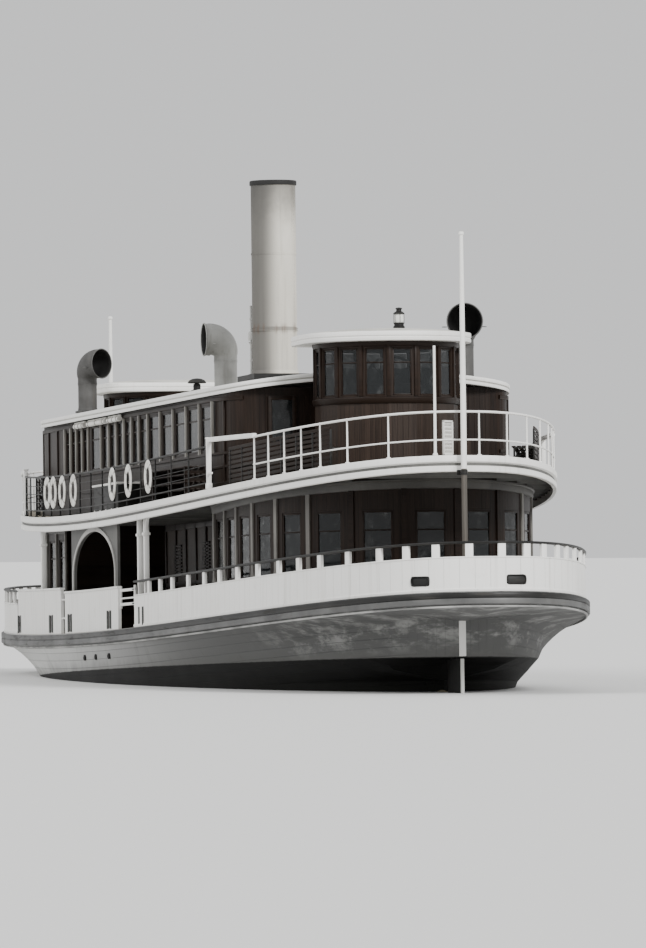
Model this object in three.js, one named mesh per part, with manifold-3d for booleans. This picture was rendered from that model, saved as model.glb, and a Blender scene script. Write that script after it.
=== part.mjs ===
// A double-ended wooden passenger steam ferry, 39 m over the main deck, floating upright and level.
// Millimetres. +X runs along the keel to the end that is shown leading, +Y to port, +Z up.
// The origin lies on the water plane, midway between the ends, on the centreline.
import * as THREE from 'three';
import { mergeVertices } from 'three/addons/utils/BufferGeometryUtils.js';
import Module from 'manifold-3d';

const wasm = await Module();
wasm.setup();

// Driving dimensions
const GAP = 0.3;
const main = { half: 19500, beam: 4030, round: 2.552, height: 1107, sheer: 433.5 };
const upper = { half: 17090, beam: 4105, round: 2.356, height: 3665, sheer: 634.5, slab: 120, rim: 331 };
const keel = {
  bottom: -2450, half: 90, soleTop: -2200, stem: 16930, stemFoot: 280, stemHead: 1000, post: 14950,
};
const guard = { depth: 250, proud: 70 };
const screw = { z: -1200, radius: 850, hub: 170, hubFrom: 14956, hubTo: 15376, blades: 4, bladesAt: 15170 };
const shaft = { radius: 64, bore: 68, from: 14500, to: 15000, tube: 190, tubeFrom: 13300 };
const rudder = { stock: 16200, inner: 15740, outer: 16925, top: 250, bottom: -2190, thick: 100, swing: 790 };
const rudderPins = { stock: 60, stockBore: 66, stockTop: 760, pintle: 42, pintleBore: 46, sunk: 120 };
const lowerCabin = {
  end: 7700, turn: 9500, nose: 14400, beam: 3020, round: 2.2, wall: 70, sill: 2000, head: 3290,
};
const upperCabin = { half: 10100, beam: 3130, round: 14, shift: -700, wall: 60, sill: 4700, head: 5680 };
const cabinRoof = { half: 10450, beam: 3350, round: 7.5, underside: 5820, camber: 300, depth: 170 };
const tower = { x: 10640, radius: 1470, sides: 16, wall: 60, floor: 4860, floorThick: 60, top: 6800 };
const towerGlass = { width: 410, sill: 5690, head: 6670 };
const towerEnds = {
  // flats are counted from the one that faces the end; the flats towards the upper cabin have short windows
  fore: { doorFlat: 4, shortFrom: 5, shortTo: 11, shortSill: 6330, drop: 0 },
  aft: { doorFlat: 2, shortFrom: 3, shortTo: 13, shortSill: 6450, drop: 150 },
};
const towerRoof = { radius: 1755, edge: 200, crown: 120 };
const funnel = { x: 260, radius: 485, top: 10810, wall: 16, crown: 25, crownDepth: 120 };
const coaming = { x0: -760, x1: 910, beam: 610, top: 6620 };
const uptake = { x0: -1300, x1: 1700, beam: 900 };
const casing = { half: 4200, beam: 1500 };

// Material colours, roughness and metalness by finish
const finishes = {
  whitePaint: new THREE.MeshStandardMaterial({ color: 0xe4e1d6, roughness: 0.55, metalness: 0 }),
  hullPaint: new THREE.MeshStandardMaterial({ color: 0x8b9090, roughness: 0.6, metalness: 0 }),
  darkPaint: new THREE.MeshStandardMaterial({ color: 0x2a2623, roughness: 0.5, metalness: 0 }),
  varnish: new THREE.MeshStandardMaterial({ color: 0x4a2c1a, roughness: 0.4, metalness: 0 }),
  roofCanvas: new THREE.MeshStandardMaterial({ color: 0xc9c5b6, roughness: 0.85, metalness: 0 }),
  funnelPaint: new THREE.MeshStandardMaterial({ color: 0xa59a83, roughness: 0.55, metalness: 0.1 }),
  bronze: new THREE.MeshStandardMaterial({ color: 0x8a6a35, roughness: 0.4, metalness: 0.9 }),
  galvanised: new THREE.MeshStandardMaterial({ color: 0x8f9290, roughness: 0.5, metalness: 0.6 }),
};

const ferry = new THREE.Group();

function place(name, geometry, finish) {
  const mesh = new THREE.Mesh(geometry, finishes[finish]);
  mesh.name = name;
  ferry.add(mesh);
}

// Heights of the two decks, straight between the stations that both are built on
const stationCount = 24;

function stations(deck) {
  return Array.from({ length: stationCount + 1 }, (_, i) => {
    const turn = Math.PI * (0.006 + 0.988 * (i / stationCount));
    const side = -Math.cos(turn);
    return deck.half * Math.sign(side) * Math.abs(side) ** (2 / deck.round);
  });
}

const toStem = (x) => Math.abs(Math.abs(x) - keel.stem);
const nearestToStem = Math.min(...stations(main).map(toStem)) + 1;
const mainStations = stations(main).map((x) => (toStem(x) < nearestToStem ? Math.sign(x) * keel.stem : x));
const upperStations = stations(upper);

const sheerLine = (deck, x) => deck.height + deck.sheer * (x / deck.half) ** 2;

function deckHeight(deck, deckStations, x) {
  const last = deckStations.length - 1;
  if (x <= deckStations[0] || x >= deckStations[last]) {
    return sheerLine(deck, x);
  }
  const i = deckStations.findIndex((s) => s > x);
  const share = (x - deckStations[i - 1]) / (deckStations[i] - deckStations[i - 1]);
  return sheerLine(deck, deckStations[i - 1]) * (1 - share) + sheerLine(deck, deckStations[i]) * share;
}

const mainTop = (x) => deckHeight(main, mainStations, x);
const upperTop = (x) => deckHeight(upper, upperStations, x);
const upperUnder = (x) => upperTop(x) - upper.slab;

const ovalBeam = (x, half, beam, round) => beam * Math.max(0, 1 - Math.abs(x / half) ** round) ** (1 / round);

// Solids: a boolean body from a geometry, and a geometry back from it
function solid(geometry) {
  const bare = geometry.clone();
  for (const name of Object.keys(bare.attributes)) {
    if (name !== 'position') {
      bare.deleteAttribute(name);
    }
  }
  const merged = mergeVertices(bare, 1e-3);
  const mesh = new wasm.Mesh({
    numProp: 3,
    vertProperties: new Float32Array(merged.attributes.position.array),
    triVerts: new Uint32Array(merged.index.array),
  });
  return new wasm.Manifold(mesh);
}

function geometryOf(body) {
  const mesh = body.getMesh();
  const geometry = new THREE.BufferGeometry();
  geometry.setAttribute('position', new THREE.BufferAttribute(new Float32Array(mesh.vertProperties), 3));
  geometry.setIndex(new THREE.BufferAttribute(new Uint32Array(mesh.triVerts), 1));
  return geometry;
}

const asSolid = (shape) => (shape instanceof THREE.BufferGeometry ? solid(shape) : shape);

const joined = (parts) => parts.map(asSolid).reduce((a, b) => a.add(b));

const cut = (from, tools) => tools.reduce((a, b) => a.subtract(solid(b)), asSolid(from));

// Skin over closed sections that all have the same number of points, turned so that it faces out
function loft(sections, closed = false) {
  const count = sections[0].length;
  const rings = sections.length;
  const faces = [];
  const at = (ring, i) => (ring % rings) * count + (i % count);
  for (let ring = 0; ring < (closed ? rings : rings - 1); ring += 1) {
    for (let i = 0; i < count; i += 1) {
      faces.push(at(ring, i), at(ring + 1, i), at(ring + 1, i + 1));
      faces.push(at(ring, i), at(ring + 1, i + 1), at(ring, i + 1));
    }
  }
  if (!closed) {
    for (let i = 1; 2 * i < count; i += 1) {
      for (const [ring, flip] of [[0, false], [rings - 1, true]]) {
        const quad = [at(ring, i - 1), at(ring, i), at(ring, count - 1 - i), at(ring, count - i)];
        const pair = 2 * i === count - 1 ? [[0, 1, 3]] : [[0, 1, 2], [0, 2, 3]];
        for (const triple of pair) {
          const corner = triple.map((c) => quad[c]);
          faces.push(...(flip ? corner.reverse() : corner));
        }
      }
    }
  }
  const geometry = new THREE.BufferGeometry();
  geometry.setAttribute('position', new THREE.BufferAttribute(new Float32Array(sections.flat(2)), 3));
  geometry.setIndex(faces);
  if (signedVolume(geometry) < 0) {
    for (let i = 0; i < faces.length; i += 3) {
      [faces[i], faces[i + 1]] = [faces[i + 1], faces[i]];
    }
    geometry.setIndex(faces);
  }
  return geometry;
}

function signedVolume(geometry) {
  const p = geometry.attributes.position;
  const index = geometry.index.array;
  const [a, b, c] = [new THREE.Vector3(), new THREE.Vector3(), new THREE.Vector3()];
  let volume = 0;
  for (let i = 0; i < index.length; i += 3) {
    a.fromBufferAttribute(p, index[i]);
    b.fromBufferAttribute(p, index[i + 1]);
    c.fromBufferAttribute(p, index[i + 2]);
    volume += a.dot(b.cross(c)) / 6;
  }
  return volume;
}

function box(x0, x1, y0, y1, z0, z1) {
  const geometry = new THREE.BoxGeometry(x1 - x0, y1 - y0, z1 - z0);
  return geometry.translate((x0 + x1) / 2, (y0 + y1) / 2, (z0 + z1) / 2);
}

function upright(x, y, z0, z1, radius, sides = 12) {
  const geometry = new THREE.CylinderGeometry(radius, radius, z1 - z0, sides);
  return geometry.rotateX(Math.PI / 2).translate(x, y, (z0 + z1) / 2);
}

function lengthwise(x0, x1, y, z, radius, sides = 16) {
  const geometry = new THREE.CylinderGeometry(radius, radius, x1 - x0, sides);
  return geometry.rotateZ(Math.PI / 2).translate((x0 + x1) / 2, y, z);
}

const mirrorEnds = (geometry) => geometry.clone().rotateZ(Math.PI);

// Plan outlines as lists of points with their outward directions
function ovalPoint(angle, half, beam, round) {
  const [c, s] = [Math.cos(angle), Math.sin(angle)];
  const power = (v) => Math.sign(v) * Math.abs(v) ** (2 / round);
  return [half * power(c), beam * power(s)];
}

function ovalArc(from, to, steps, half, beam, round, shift = 0) {
  return Array.from({ length: steps + 1 }, (_, i) => {
    const [x, y] = ovalPoint(from + ((to - from) * i) / steps, half, beam, round);
    return [x + shift, y];
  });
}

function outward(points, closed) {
  const last = points.length - 1;
  return points.map((p, i) => {
    const before = points[i === 0 ? (closed ? last : 0) : i - 1];
    const after = points[i === last ? (closed ? 0 : last) : i + 1];
    const [dx, dy] = [after[0] - before[0], after[1] - before[1]];
    const length = Math.hypot(dx, dy);
    return [dy / length, -dx / length];
  });
}

// A wall, rail or strake that follows an outline: faces at `outer` and `inner` of it, between two heights
function band(points, outer, inner, low, high, closed = false) {
  const directions = outward(points, closed);
  const sections = points.map(([x, y], i) => {
    const [nx, ny] = directions[i];
    const [xOut, yOut] = [x + nx * outer, y + ny * outer];
    const [xIn, yIn] = [x + nx * inner, y + ny * inner];
    return [[xOut, yOut, low(xOut)], [xOut, yOut, high(xOut)], [xIn, yIn, high(xIn)], [xIn, yIn, low(xIn)]];
  });
  return loft(sections, closed);
}

// The place at a distance along an outline, with the heading of the wall there
function placeAlong(points, distance) {
  let left = distance;
  let i = 1;
  const stretch = () => Math.hypot(points[i][0] - points[i - 1][0], points[i][1] - points[i - 1][1]);
  while (i < points.length - 1 && left > stretch()) {
    left -= stretch();
    i += 1;
  }
  const [a, b] = [points[i - 1], points[i]];
  const share = left / stretch();
  return {
    x: a[0] + (b[0] - a[0]) * share,
    y: a[1] + (b[1] - a[1]) * share,
    heading: Math.atan2(b[1] - a[1], b[0] - a[0]),
  };
}

function outlineLength(points) {
  const stretches = points.slice(1).map((p, i) => Math.hypot(p[0] - points[i][0], p[1] - points[i][1]));
  return stretches.reduce((sum, stretch) => sum + stretch, 0);
}

function blockAt(spot, width, depth, z0, z1) {
  const geometry = new THREE.BoxGeometry(width, depth, z1 - z0);
  return geometry.rotateZ(spot.heading).translate(spot.x, spot.y, (z0 + z1) / 2);
}

// Hull: waterlines by height, half breadth, fullness and the length to which they run each way
const waterlines = [
  // height, half breadth, fullness, half length
  [-2250, 150, 2.0, 14600],
  [-2100, 900, 1.5, 14600],
  [-1800, 2150, 1.6, 14650],
  [-1300, 3150, 1.75, 14700],
  [-700, 3720, 1.9, 14750],
  [-160, 3930, 1.95, 14850],
  [60, 3960, 1.95, 16000],
  [300, 3975, 2.0, 16930],
];
const flareShares = [0.3, 0.65, 1];
const guardBottom = (x) => mainTop(x) - guard.depth - 20;

function hullHalf(x) {
  const deckBeam = ovalBeam(x, main.half, main.beam, main.round);
  const points = [[keel.half, keel.bottom]];
  for (const [z, beam, fullness, half] of waterlines) {
    points.push([Math.max(keel.half, ovalBeam(x, half, beam, fullness)), z]);
  }
  const [, , , lastHalf] = waterlines[waterlines.length - 1];
  const [knee, kneeHeight] = points[points.length - 1];
  const power = 1 + 11 * Math.abs(x / lastHalf) ** 8;
  for (const share of flareShares) {
    const rise = share ** (1 / power);
    points.push([knee + (deckBeam - knee) * share, kneeHeight + (guardBottom(x) - kneeHeight) * rise]);
  }
  points.push([deckBeam, mainTop(x)]);
  return points;
}

function counterHalf(x) {
  const deckBeam = ovalBeam(x, main.half, main.beam, main.round);
  const along = (Math.abs(x) - keel.stem) / (main.half - keel.stem);
  const foot = keel.stemHead + (guardBottom(x) - 40 - keel.stemHead) * along;
  const points = [[keel.half, foot]];
  for (const share of flareShares) {
    points.push([keel.half + (deckBeam - keel.half) * share, foot + (guardBottom(x) - foot) * share ** 0.5]);
  }
  points.push([deckBeam, mainTop(x)]);
  return points;
}

function sectionAt(x, half) {
  const points = half(x);
  return [...points.map(([y, z]) => [x, y, z]), ...points.map(([y, z]) => [x, -y, z]).reverse()];
}

const shell = loft(mainStations.filter((x) => Math.abs(x) <= keel.stem).map((x) => sectionAt(x, hullHalf)));
const bowOverhang = loft(mainStations.filter((x) => x >= keel.stem).map((x) => sectionAt(x, counterHalf)));

// The opening for the screw and the rudder in each deadwood, and the bores of their bearings
const aperture = { roof: -150, riseFrom: 15650, riseTo: 15900, mouth: 17200, reach: 400 };

function endTools() {
  const outline = new THREE.Shape([
    [keel.post, keel.soleTop], [aperture.mouth, keel.soleTop], [aperture.mouth, keel.stemFoot],
    [aperture.riseTo, keel.stemFoot], [aperture.riseFrom, aperture.roof], [keel.post, aperture.roof],
  ].map(([x, z]) => new THREE.Vector2(x, z)));
  const opening = new THREE.ExtrudeGeometry(outline, { depth: 2 * aperture.reach, bevelEnabled: false });
  opening.translate(0, 0, -aperture.reach).rotateX(Math.PI / 2);
  const pintleFoot = keel.soleTop - rudderPins.sunk;
  return [
    opening,
    upright(rudder.stock, 0, keel.soleTop, keel.stemFoot, rudder.swing, 40),
    upright(rudder.stock, 0, rudder.top - 50, rudderPins.stockTop + 40, rudderPins.stockBore, 24),
    upright(rudder.stock, 0, pintleFoot, keel.soleTop + 20, rudderPins.pintleBore, 20),
    lengthwise(shaft.from, shaft.to, 0, screw.z, shaft.bore, 24),
  ];
}

const sternTube = lengthwise(shaft.tubeFrom, keel.post, 0, screw.z, shaft.tube, 20);
const hullWhole = joined([shell, bowOverhang, mirrorEnds(bowOverhang), sternTube, mirrorEnds(sternTube)]);
place('hull', geometryOf(cut(hullWhole, [...endTools(), ...endTools().map(mirrorEnds)])), 'hullPaint');

// Guard: the belting all round the deck edge
const mainOutline = [
  ...mainStations.map((x) => [x, -ovalBeam(x, main.half, main.beam, main.round)]),
  ...[...mainStations].reverse().map((x) => [x, ovalBeam(x, main.half, main.beam, main.round)]),
];
const guardLow = (x) => mainTop(x) - guard.depth;
const guardTop = (x) => mainTop(x) - 20;
place('guard_strake', band(mainOutline, guard.proud, GAP, guardLow, guardTop, true), 'darkPaint');

// Bulwarks: plating round each end, with its stub posts and fairleads, and the rail on top
const plating = {
  thick: 70, rise: 660, railGap: 270, rail: 70, inset: 20, openFrom: 4140, aftFrom: 10000, post: 150,
};
const commonPosts = [3570, 4660, 5600, 6570, 7710, 8900, 10050, 11090, 12280, 13530, 14540, 15510];
const stubPosts = {
  // distances from the stem along the plating
  starboard: [460, 1140, 1820, 2550, ...commonPosts],
  port: [200, 750, 1200, 1700, 2170, 2790, ...commonPosts],
};
const outlineSteps = 18;
const gangway = { from: 2570, to: 4110, bars: [480, 780], bar: 60, low: 420, high: 900 };
const gangwaySlot = { x: 4770, half: 130, low: 40 };

function endOutline(from, deck, inset) {
  const half = deck.half - inset;
  const beam = deck.beam - inset;
  const turn = Math.acos(Math.min(1, (from / half) ** (deck.round / 2)));
  return ovalArc(-turn, turn, outlineSteps, half, beam, deck.round);
}

// Places at distances from the middle of an end outline, starboard of it and then to port
function fromStem(line, distances) {
  const run = outlineLength(line);
  const within = (list) => list.filter((distance) => distance < run / 2 - 80);
  const signed = [...within(distances.starboard).map((distance) => -distance), ...within(distances.port)];
  return signed.map((distance) => placeAlong(line, run / 2 + distance));
}

function stubPost(spot) {
  const step = plating.thick / 2;
  const inward = {
    ...spot,
    x: spot.x - Math.sin(spot.heading) * step,
    y: spot.y + Math.cos(spot.heading) * step,
  };
  const z = Math.min(mainTop(spot.x - 110), mainTop(spot.x + 110));
  return blockAt(inward, plating.post, plating.thick - 6, z + 300, z + plating.rise + plating.railGap - GAP);
}

// The seats that a gangway gate rests on when it is shut, and the freeing port beside it
function gangwayWork(from) {
  const edge = main.beam - plating.inset - plating.thick / 2;
  const low = mainTop(gangway.to) + gangway.low - GAP;
  const bracket = (y) => box(from - 90, from + 60, y - 35, y + 35, low - 40, low);
  const [left, right] = [gangwaySlot.x - gangwaySlot.half, gangwaySlot.x + gangwaySlot.half];
  const freeing = box(left, right, -2 * edge, 2 * edge, mainTop(gangwaySlot.x) + gangwaySlot.low, low);
  return { brackets: [bracket(10 - edge), bracket(edge - 10)], freeing: [freeing] };
}

const fairlead = { at: { starboard: [1480], port: [500] }, width: 430, low: 130, high: 330 };

function endBulwarkNodes(end, from, turnRound) {
  const line = endOutline(from, main, plating.inset);
  const wall = band(line, 0, -plating.thick, (x) => mainTop(x) + GAP, (x) => mainTop(x) + plating.rise);
  const posts = fromStem(line, stubPosts).map(stubPost);
  const holes = fromStem(line, fairlead.at).map((spot) => {
    const z = mainTop(spot.x);
    return blockAt(spot, fairlead.width, 400, z + fairlead.low, z + fairlead.high);
  });
  const { brackets, freeing } = from < gangwaySlot.x ? gangwayWork(from) : { brackets: [], freeing: [] };
  const plate = geometryOf(cut(joined([wall, ...posts, ...brackets]), [...holes, ...freeing]));
  const railFoot = (x) => mainTop(x) + plating.rise + plating.railGap;
  const rail = band(line, 25, -plating.thick - 25, railFoot, (x) => railFoot(x) + plating.rail);
  place(`bulwark_${end}`, turnRound ? mirrorEnds(plate) : plate, 'whitePaint');
  place(`bulwark_rail_${end}`, turnRound ? mirrorEnds(rail) : rail, 'darkPaint');
}

endBulwarkNodes('fore', plating.openFrom, false);
endBulwarkNodes('aft', plating.aftFrom, true);

// Side panels amidships with the narrow gap barred, the gangway gates and their post
const sidePanel = {
  aftRise: 990, foreRise: 900, from: -9850, to: 2570, gapFrom: -3650, gapTo: -3180, bar: 45,
};
const freeingPort = { at: [-9550, -4850, -2600, 1650], half: 90, low: 40, high: 400 };

function sideLine(from, to, side, steps = 16) {
  return Array.from({ length: steps + 1 }, (_, i) => {
    const x = from + ((to - from) * i) / steps;
    return [x, -side * ovalBeam(x, main.half - plating.inset, main.beam - plating.inset, main.round)];
  });
}

function sidePanels(side) {
  const foot = (x) => mainTop(x) + GAP;
  const faces = side > 0 ? [0, -plating.thick] : [plating.thick, 0];
  const wall = (from, to, steps, rise) => {
    const line = sideLine(from, to, side, steps);
    return band(line, ...faces, foot, (x) => mainTop(x) + rise);
  };
  const aft = wall(sidePanel.from, sidePanel.gapFrom, 10, sidePanel.aftRise);
  const mid = wall(sidePanel.gapTo, sidePanel.to, 8, sidePanel.foreRise);
  const edge = ovalBeam(sidePanel.gapFrom, main.half, main.beam, main.round) - plating.inset;
  const y = -side * (edge - plating.thick / 2);
  const bars = [0.35, 0.8].map((share) => {
    const z = mainTop(sidePanel.gapFrom) + sidePanel.foreRise * share;
    return box(sidePanel.gapFrom - 40, sidePanel.gapTo + 40, y - 20, y + 20, z, z + sidePanel.bar);
  });
  const slots = freeingPort.at.map((x) => {
    const outer = -side * ovalBeam(x, main.half, main.beam, main.round);
    const z = mainTop(x);
    const reach = freeingPort.half;
    return box(x - reach, x + reach, outer - 300, outer + 300, z + freeingPort.low, z + freeingPort.high);
  });
  return geometryOf(cut(joined([aft, mid, ...bars]), slots));
}

for (const [side, name] of [[1, 'starboard'], [-1, 'port']]) {
  place(`side_panel_${name}`, sidePanels(side), 'whitePaint');
}

// Posts under the upper deck with the beam that they share, and the midship arch
const sidePosts = { at: [-7230, 4080, 4620], width: 110, inset: 218 };
const sideBeam = { from: -9960, to: 7300, bays: 18, depth: 130, down: 4 };
const arch = { from: -2500, to: 1900, frame: 260, spring: 2350, rise: 920, depth: 60 };
const postLine = (x) => ovalBeam(x, upper.half, upper.beam, upper.round) - sidePosts.inset;

const beamLength = sideBeam.to - sideBeam.from;
const beamStations = Array.from({ length: sideBeam.bays + 1 }, (_, i) => (
  sideBeam.from + (beamLength * i) / sideBeam.bays
));
const beamTop = (x) => upperUnder(x) - sideBeam.down;
const beamUnder = (x) => beamTop(x) - sideBeam.depth;

// Face board with the arched opening cut out of it; its legs stand just inside the side panel
function archBoard(side) {
  const [outerLeft, outerRight] = [arch.from - arch.frame, arch.to + arch.frame];
  const [middle, half] = [(arch.from + arch.to) / 2, (arch.to - arch.from) / 2];
  const [footLeft, footRight] = [mainTop(outerLeft) + GAP, mainTop(outerRight) + GAP];
  const outline = new THREE.Shape();
  outline.moveTo(outerLeft, beamUnder(outerLeft) - GAP);
  outline.lineTo(outerLeft, footLeft);
  outline.lineTo(arch.from, footLeft);
  outline.lineTo(arch.from, arch.spring);
  outline.absellipse(middle, arch.spring, half, arch.rise, Math.PI, 0, true);
  outline.lineTo(arch.to, footRight);
  outline.lineTo(outerRight, footRight);
  outline.lineTo(outerRight, beamUnder(outerRight) - GAP);
  for (const x of [...beamStations].reverse().filter((at) => at > outerLeft && at < outerRight)) {
    outline.lineTo(x, beamUnder(x) - GAP);
  }
  const settings = { depth: arch.depth, bevelEnabled: false, curveSegments: 16 };
  const board = new THREE.ExtrudeGeometry(outline, settings);
  return board.rotateX(Math.PI / 2).translate(0, -side * postLine(0) + arch.depth / 2, 0);
}

for (const [side, name] of [[1, 'starboard'], [-1, 'port']]) {
  const half = sidePosts.width / 2;
  const beam = loft(beamStations.map((x) => {
    const y = -side * postLine(x);
    const [low, high] = [beamUnder(x), beamTop(x)];
    return [[x, y - half, low], [x, y - half, high], [x, y + half, high], [x, y + half, low]];
  }));
  const posts = sidePosts.at.map((x) => {
    const y = -side * postLine(x);
    const foot = Math.max(mainTop(x - half), mainTop(x + half)) + GAP;
    const head = Math.min(upperUnder(x - half), upperUnder(x + half)) - GAP;
    return box(x - half, x + half, y - half, y + half, foot, head);
  });
  place(`side_posts_${name}`, geometryOf(joined([beam, ...posts])), 'whitePaint');
  place(`arch_board_${name}`, archBoard(side), 'whitePaint');
}

function gatePlace(side) {
  const edge = ovalBeam(gangway.to, main.half - plating.inset, main.beam - plating.inset, main.round);
  return -side * (edge - plating.thick / 2);
}

for (const [side, name] of [[1, 'starboard'], [-1, 'port']]) {
  const y = gatePlace(side);
  const foot = mainTop(gangway.to);
  const start = gangway.from + 30;
  const bars = gangway.bars.map((rise) => {
    const z = foot + rise;
    return box(start, gangway.to, y - 20, y + 20, z, z + gangway.bar);
  });
  const stiles = [start, gangway.to - 50]
    .map((x) => box(x, x + 50, y - 25, y + 25, foot + gangway.low, foot + gangway.high));
  place(`gangway_gate_${name}`, geometryOf(joined([...bars, ...stiles])), 'whitePaint');
}

// Lower cabins: hollow, windowed all round the nose, with a bulkhead and a door towards midships
function cabinLine() {
  const { end, turn, nose, beam, round } = lowerCabin;
  const straight = [0, 0.25, 0.5, 0.75].map((share) => [end + (turn - end) * share, -beam]);
  const arc = ovalArc(-Math.PI / 2, Math.PI / 2, 24, nose - turn, beam, round, turn);
  return [...straight, ...arc, ...straight.map(([x, y]) => [x, -y]).reverse()];
}

const cabinDoor = { width: 760, height: 1850, thick: 45 };
const hinge = { off: 6, length: 90, wide: 40 };

// A door leaf standing just off its wall, with two hinge pads at one edge; +Z up, hinge line at the origin
function doorLeaf(width, height, thick) {
  const leaf = box(0, width, hinge.off, hinge.off + thick, 0, height);
  const pads = [0.15, 0.75]
    .map((share) => box(0, hinge.wide, 0, hinge.off + 5, height * share, height * share + hinge.length));
  return geometryOf(joined([leaf, ...pads]));
}

const cabinWindow = { first: 560, count: 15, width: 640 };

function lowerCabinNodes(end, turnRound) {
  const line = cabinLine();
  const wall = band(line, 0, -lowerCabin.wall, (x) => mainTop(x) + GAP, (x) => upperUnder(x) - 4);
  const bulkheadX = [lowerCabin.end, lowerCabin.end + lowerCabin.wall];
  const beam = lowerCabin.beam - lowerCabin.wall / 2;
  const bulkhead = box(...bulkheadX, -beam, beam, mainTop(bulkheadX[1]) + 2, upperUnder(bulkheadX[0]) - 8);
  const doorFoot = mainTop(lowerCabin.end) + 120;
  const doorHalf = cabinDoor.width / 2;
  const doorHead = doorFoot + cabinDoor.height;
  const doorway = box(lowerCabin.end - 50, lowerCabin.end + 150, -doorHalf, doorHalf, doorFoot, doorHead);
  const pitch = (outlineLength(line) - 2 * cabinWindow.first) / (cabinWindow.count - 1);
  const windows = Array.from({ length: cabinWindow.count }, (_, i) => {
    const spot = placeAlong(line, cabinWindow.first + i * pitch);
    return blockAt(spot, cabinWindow.width, 500, lowerCabin.sill, lowerCabin.head);
  });
  const cabin = geometryOf(cut(joined([wall, bulkhead]), [doorway, ...windows]));
  const leaf = doorLeaf(cabinDoor.width + 80, cabinDoor.height + 60, cabinDoor.thick);
  leaf.rotateZ(Math.PI / 2).translate(lowerCabin.end - GAP, -cabinDoor.width / 2 - 40, doorFoot - 30);
  place(`lower_cabin_${end}`, turnRound ? mirrorEnds(cabin) : cabin, 'varnish');
  place(`lower_cabin_door_${end}`, turnRound ? mirrorEnds(leaf) : leaf, 'varnish');
}

lowerCabinNodes('fore', false);
lowerCabinNodes('aft', true);

// Engine casing amidships, from the main deck up through the upper cabin to its roof
const casingFoot = Math.max(mainTop(casing.half), mainTop(0)) + GAP;
const casingBlock = box(-casing.half, casing.half, -casing.beam, casing.beam, casingFoot, upperUnder(0) - 2);
place('engine_casing', casingBlock, 'varnish');

// Upper deck: a slab with a deeper moulded rim round its edge
const upperOutline = [
  ...upperStations.map((x) => [x, -ovalBeam(x, upper.half, upper.beam, upper.round)]),
  ...[...upperStations].reverse().map((x) => [x, ovalBeam(x, upper.half, upper.beam, upper.round)]),
];
const slab = loft(upperStations.map((x) => {
  const y = ovalBeam(x, upper.half, upper.beam, upper.round) - 4;
  const [low, high] = [upperUnder(x), upperTop(x)];
  return [[x, y, low], [x, y, high], [x, -y, high], [x, -y, low]];
}));
const rim = band(upperOutline, 0, -90, (x) => upperTop(x) - upper.rim, (x) => upperTop(x) + 0.5, true);
place('upper_deck', geometryOf(joined([slab, rim])), 'whitePaint');

// Upper deck rails round the ends, with a heavier landing rail at each inner end
const deckRail = { rise: 870, mid: 310, bar: 42, post: 46, inset: 70, from: 12100 };
const pole = { fromStem: 520, top: 6480, radius: 30 };
const landing = { from: 9650, height: 4880, bar: 95 };
const railPosts = {
  // distances from the stem along the rail; the tall pole takes the first starboard place
  starboard: [1510, 2600, 3480, 4180, 4870, 5570, 6240],
  port: [380, 1070, 1800, 2600, 3480, 4180, 4870, 5570, 6240],
};

function railBar(line, z, size, low) {
  return band(line, size / 2, -size / 2, (x) => low(x) + z - size / 2, (x) => low(x) + z + size / 2);
}

function landingRail(side) {
  const at = (x) => side * ovalBeam(x, upper.half - deckRail.inset, upper.beam - deckRail.inset, upper.round);
  const half = landing.bar / 2;
  const [low, high] = [landing.height - half, landing.height + half];
  const bar = loft([0, 0.25, 0.5, 0.75, 1].map((share) => {
    const x = landing.from + (deckRail.from + 60 - landing.from) * share;
    return [[x, at(x) - half, low], [x, at(x) - half, high], [x, at(x) + half, high], [x, at(x) + half, low]];
  }));
  const x = landing.from + half;
  const foot = upperTop(x + half) + 0.5 + GAP;
  return [bar, box(x - half, x + half, at(x) - half, at(x) + half, foot, landing.height)];
}

function railPost(spot) {
  const half = deckRail.post / 2;
  const foot = Math.max(upperTop(spot.x - 40), upperTop(spot.x + 40)) + 0.5 + GAP;
  const head = upperTop(spot.x) + deckRail.rise;
  return box(spot.x - half, spot.x + half, spot.y - half, spot.y + half, foot, head);
}

function endRail() {
  const line = endOutline(deckRail.from, upper, deckRail.inset);
  const run = outlineLength(line);
  const top = railBar(line, deckRail.rise, deckRail.bar, upperTop);
  const mid = railBar(line, deckRail.mid, deckRail.bar, upperTop);
  const spots = [...fromStem(line, railPosts), placeAlong(line, 40), placeAlong(line, run - 40)];
  const posts = spots.map(railPost);
  const spot = placeAlong(line, run / 2 - pole.fromStem);
  const tall = upright(spot.x, spot.y, upperTop(spot.x + 40) + 0.5 + GAP, pole.top, pole.radius, 10);
  return geometryOf(joined([top, mid, ...posts, ...landingRail(-1), ...landingRail(1), tall]));
}

const foreRail = endRail();
place('upper_rail_fore', foreRail, 'whitePaint');
place('upper_rail_aft', mirrorEnds(foreRail), 'whitePaint');

// Side rails of the upper deck, between the landing rails
const sideRail = { half: 9600, rise: 900, bays: 8, foot: 150, thick: 40 };

for (const [side, name] of [[1, 'starboard'], [-1, 'port']]) {
  const line = Array.from({ length: sideRail.bays + 1 }, (_, i) => {
    const x = -sideRail.half + (2 * sideRail.half * i) / sideRail.bays;
    return [x, -side * ovalBeam(x, upper.half - deckRail.inset, upper.beam - deckRail.inset, upper.round)];
  });
  const bars = [sideRail.foot, sideRail.rise]
    .map((z) => band(line, 30, -30, (x) => upperTop(x) + z - sideRail.thick, (x) => upperTop(x) + z));
  const posts = line.map(([x, y]) => {
    const foot = Math.max(upperTop(x - 25), upperTop(x + 25)) + 0.5 + GAP;
    return box(x - 25, x + 25, y - 25, y + 25, foot, upperTop(x) + sideRail.rise - 10);
  });
  place(`side_rail_${name}`, geometryOf(joined([...bars, ...posts])), 'darkPaint');
}

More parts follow.
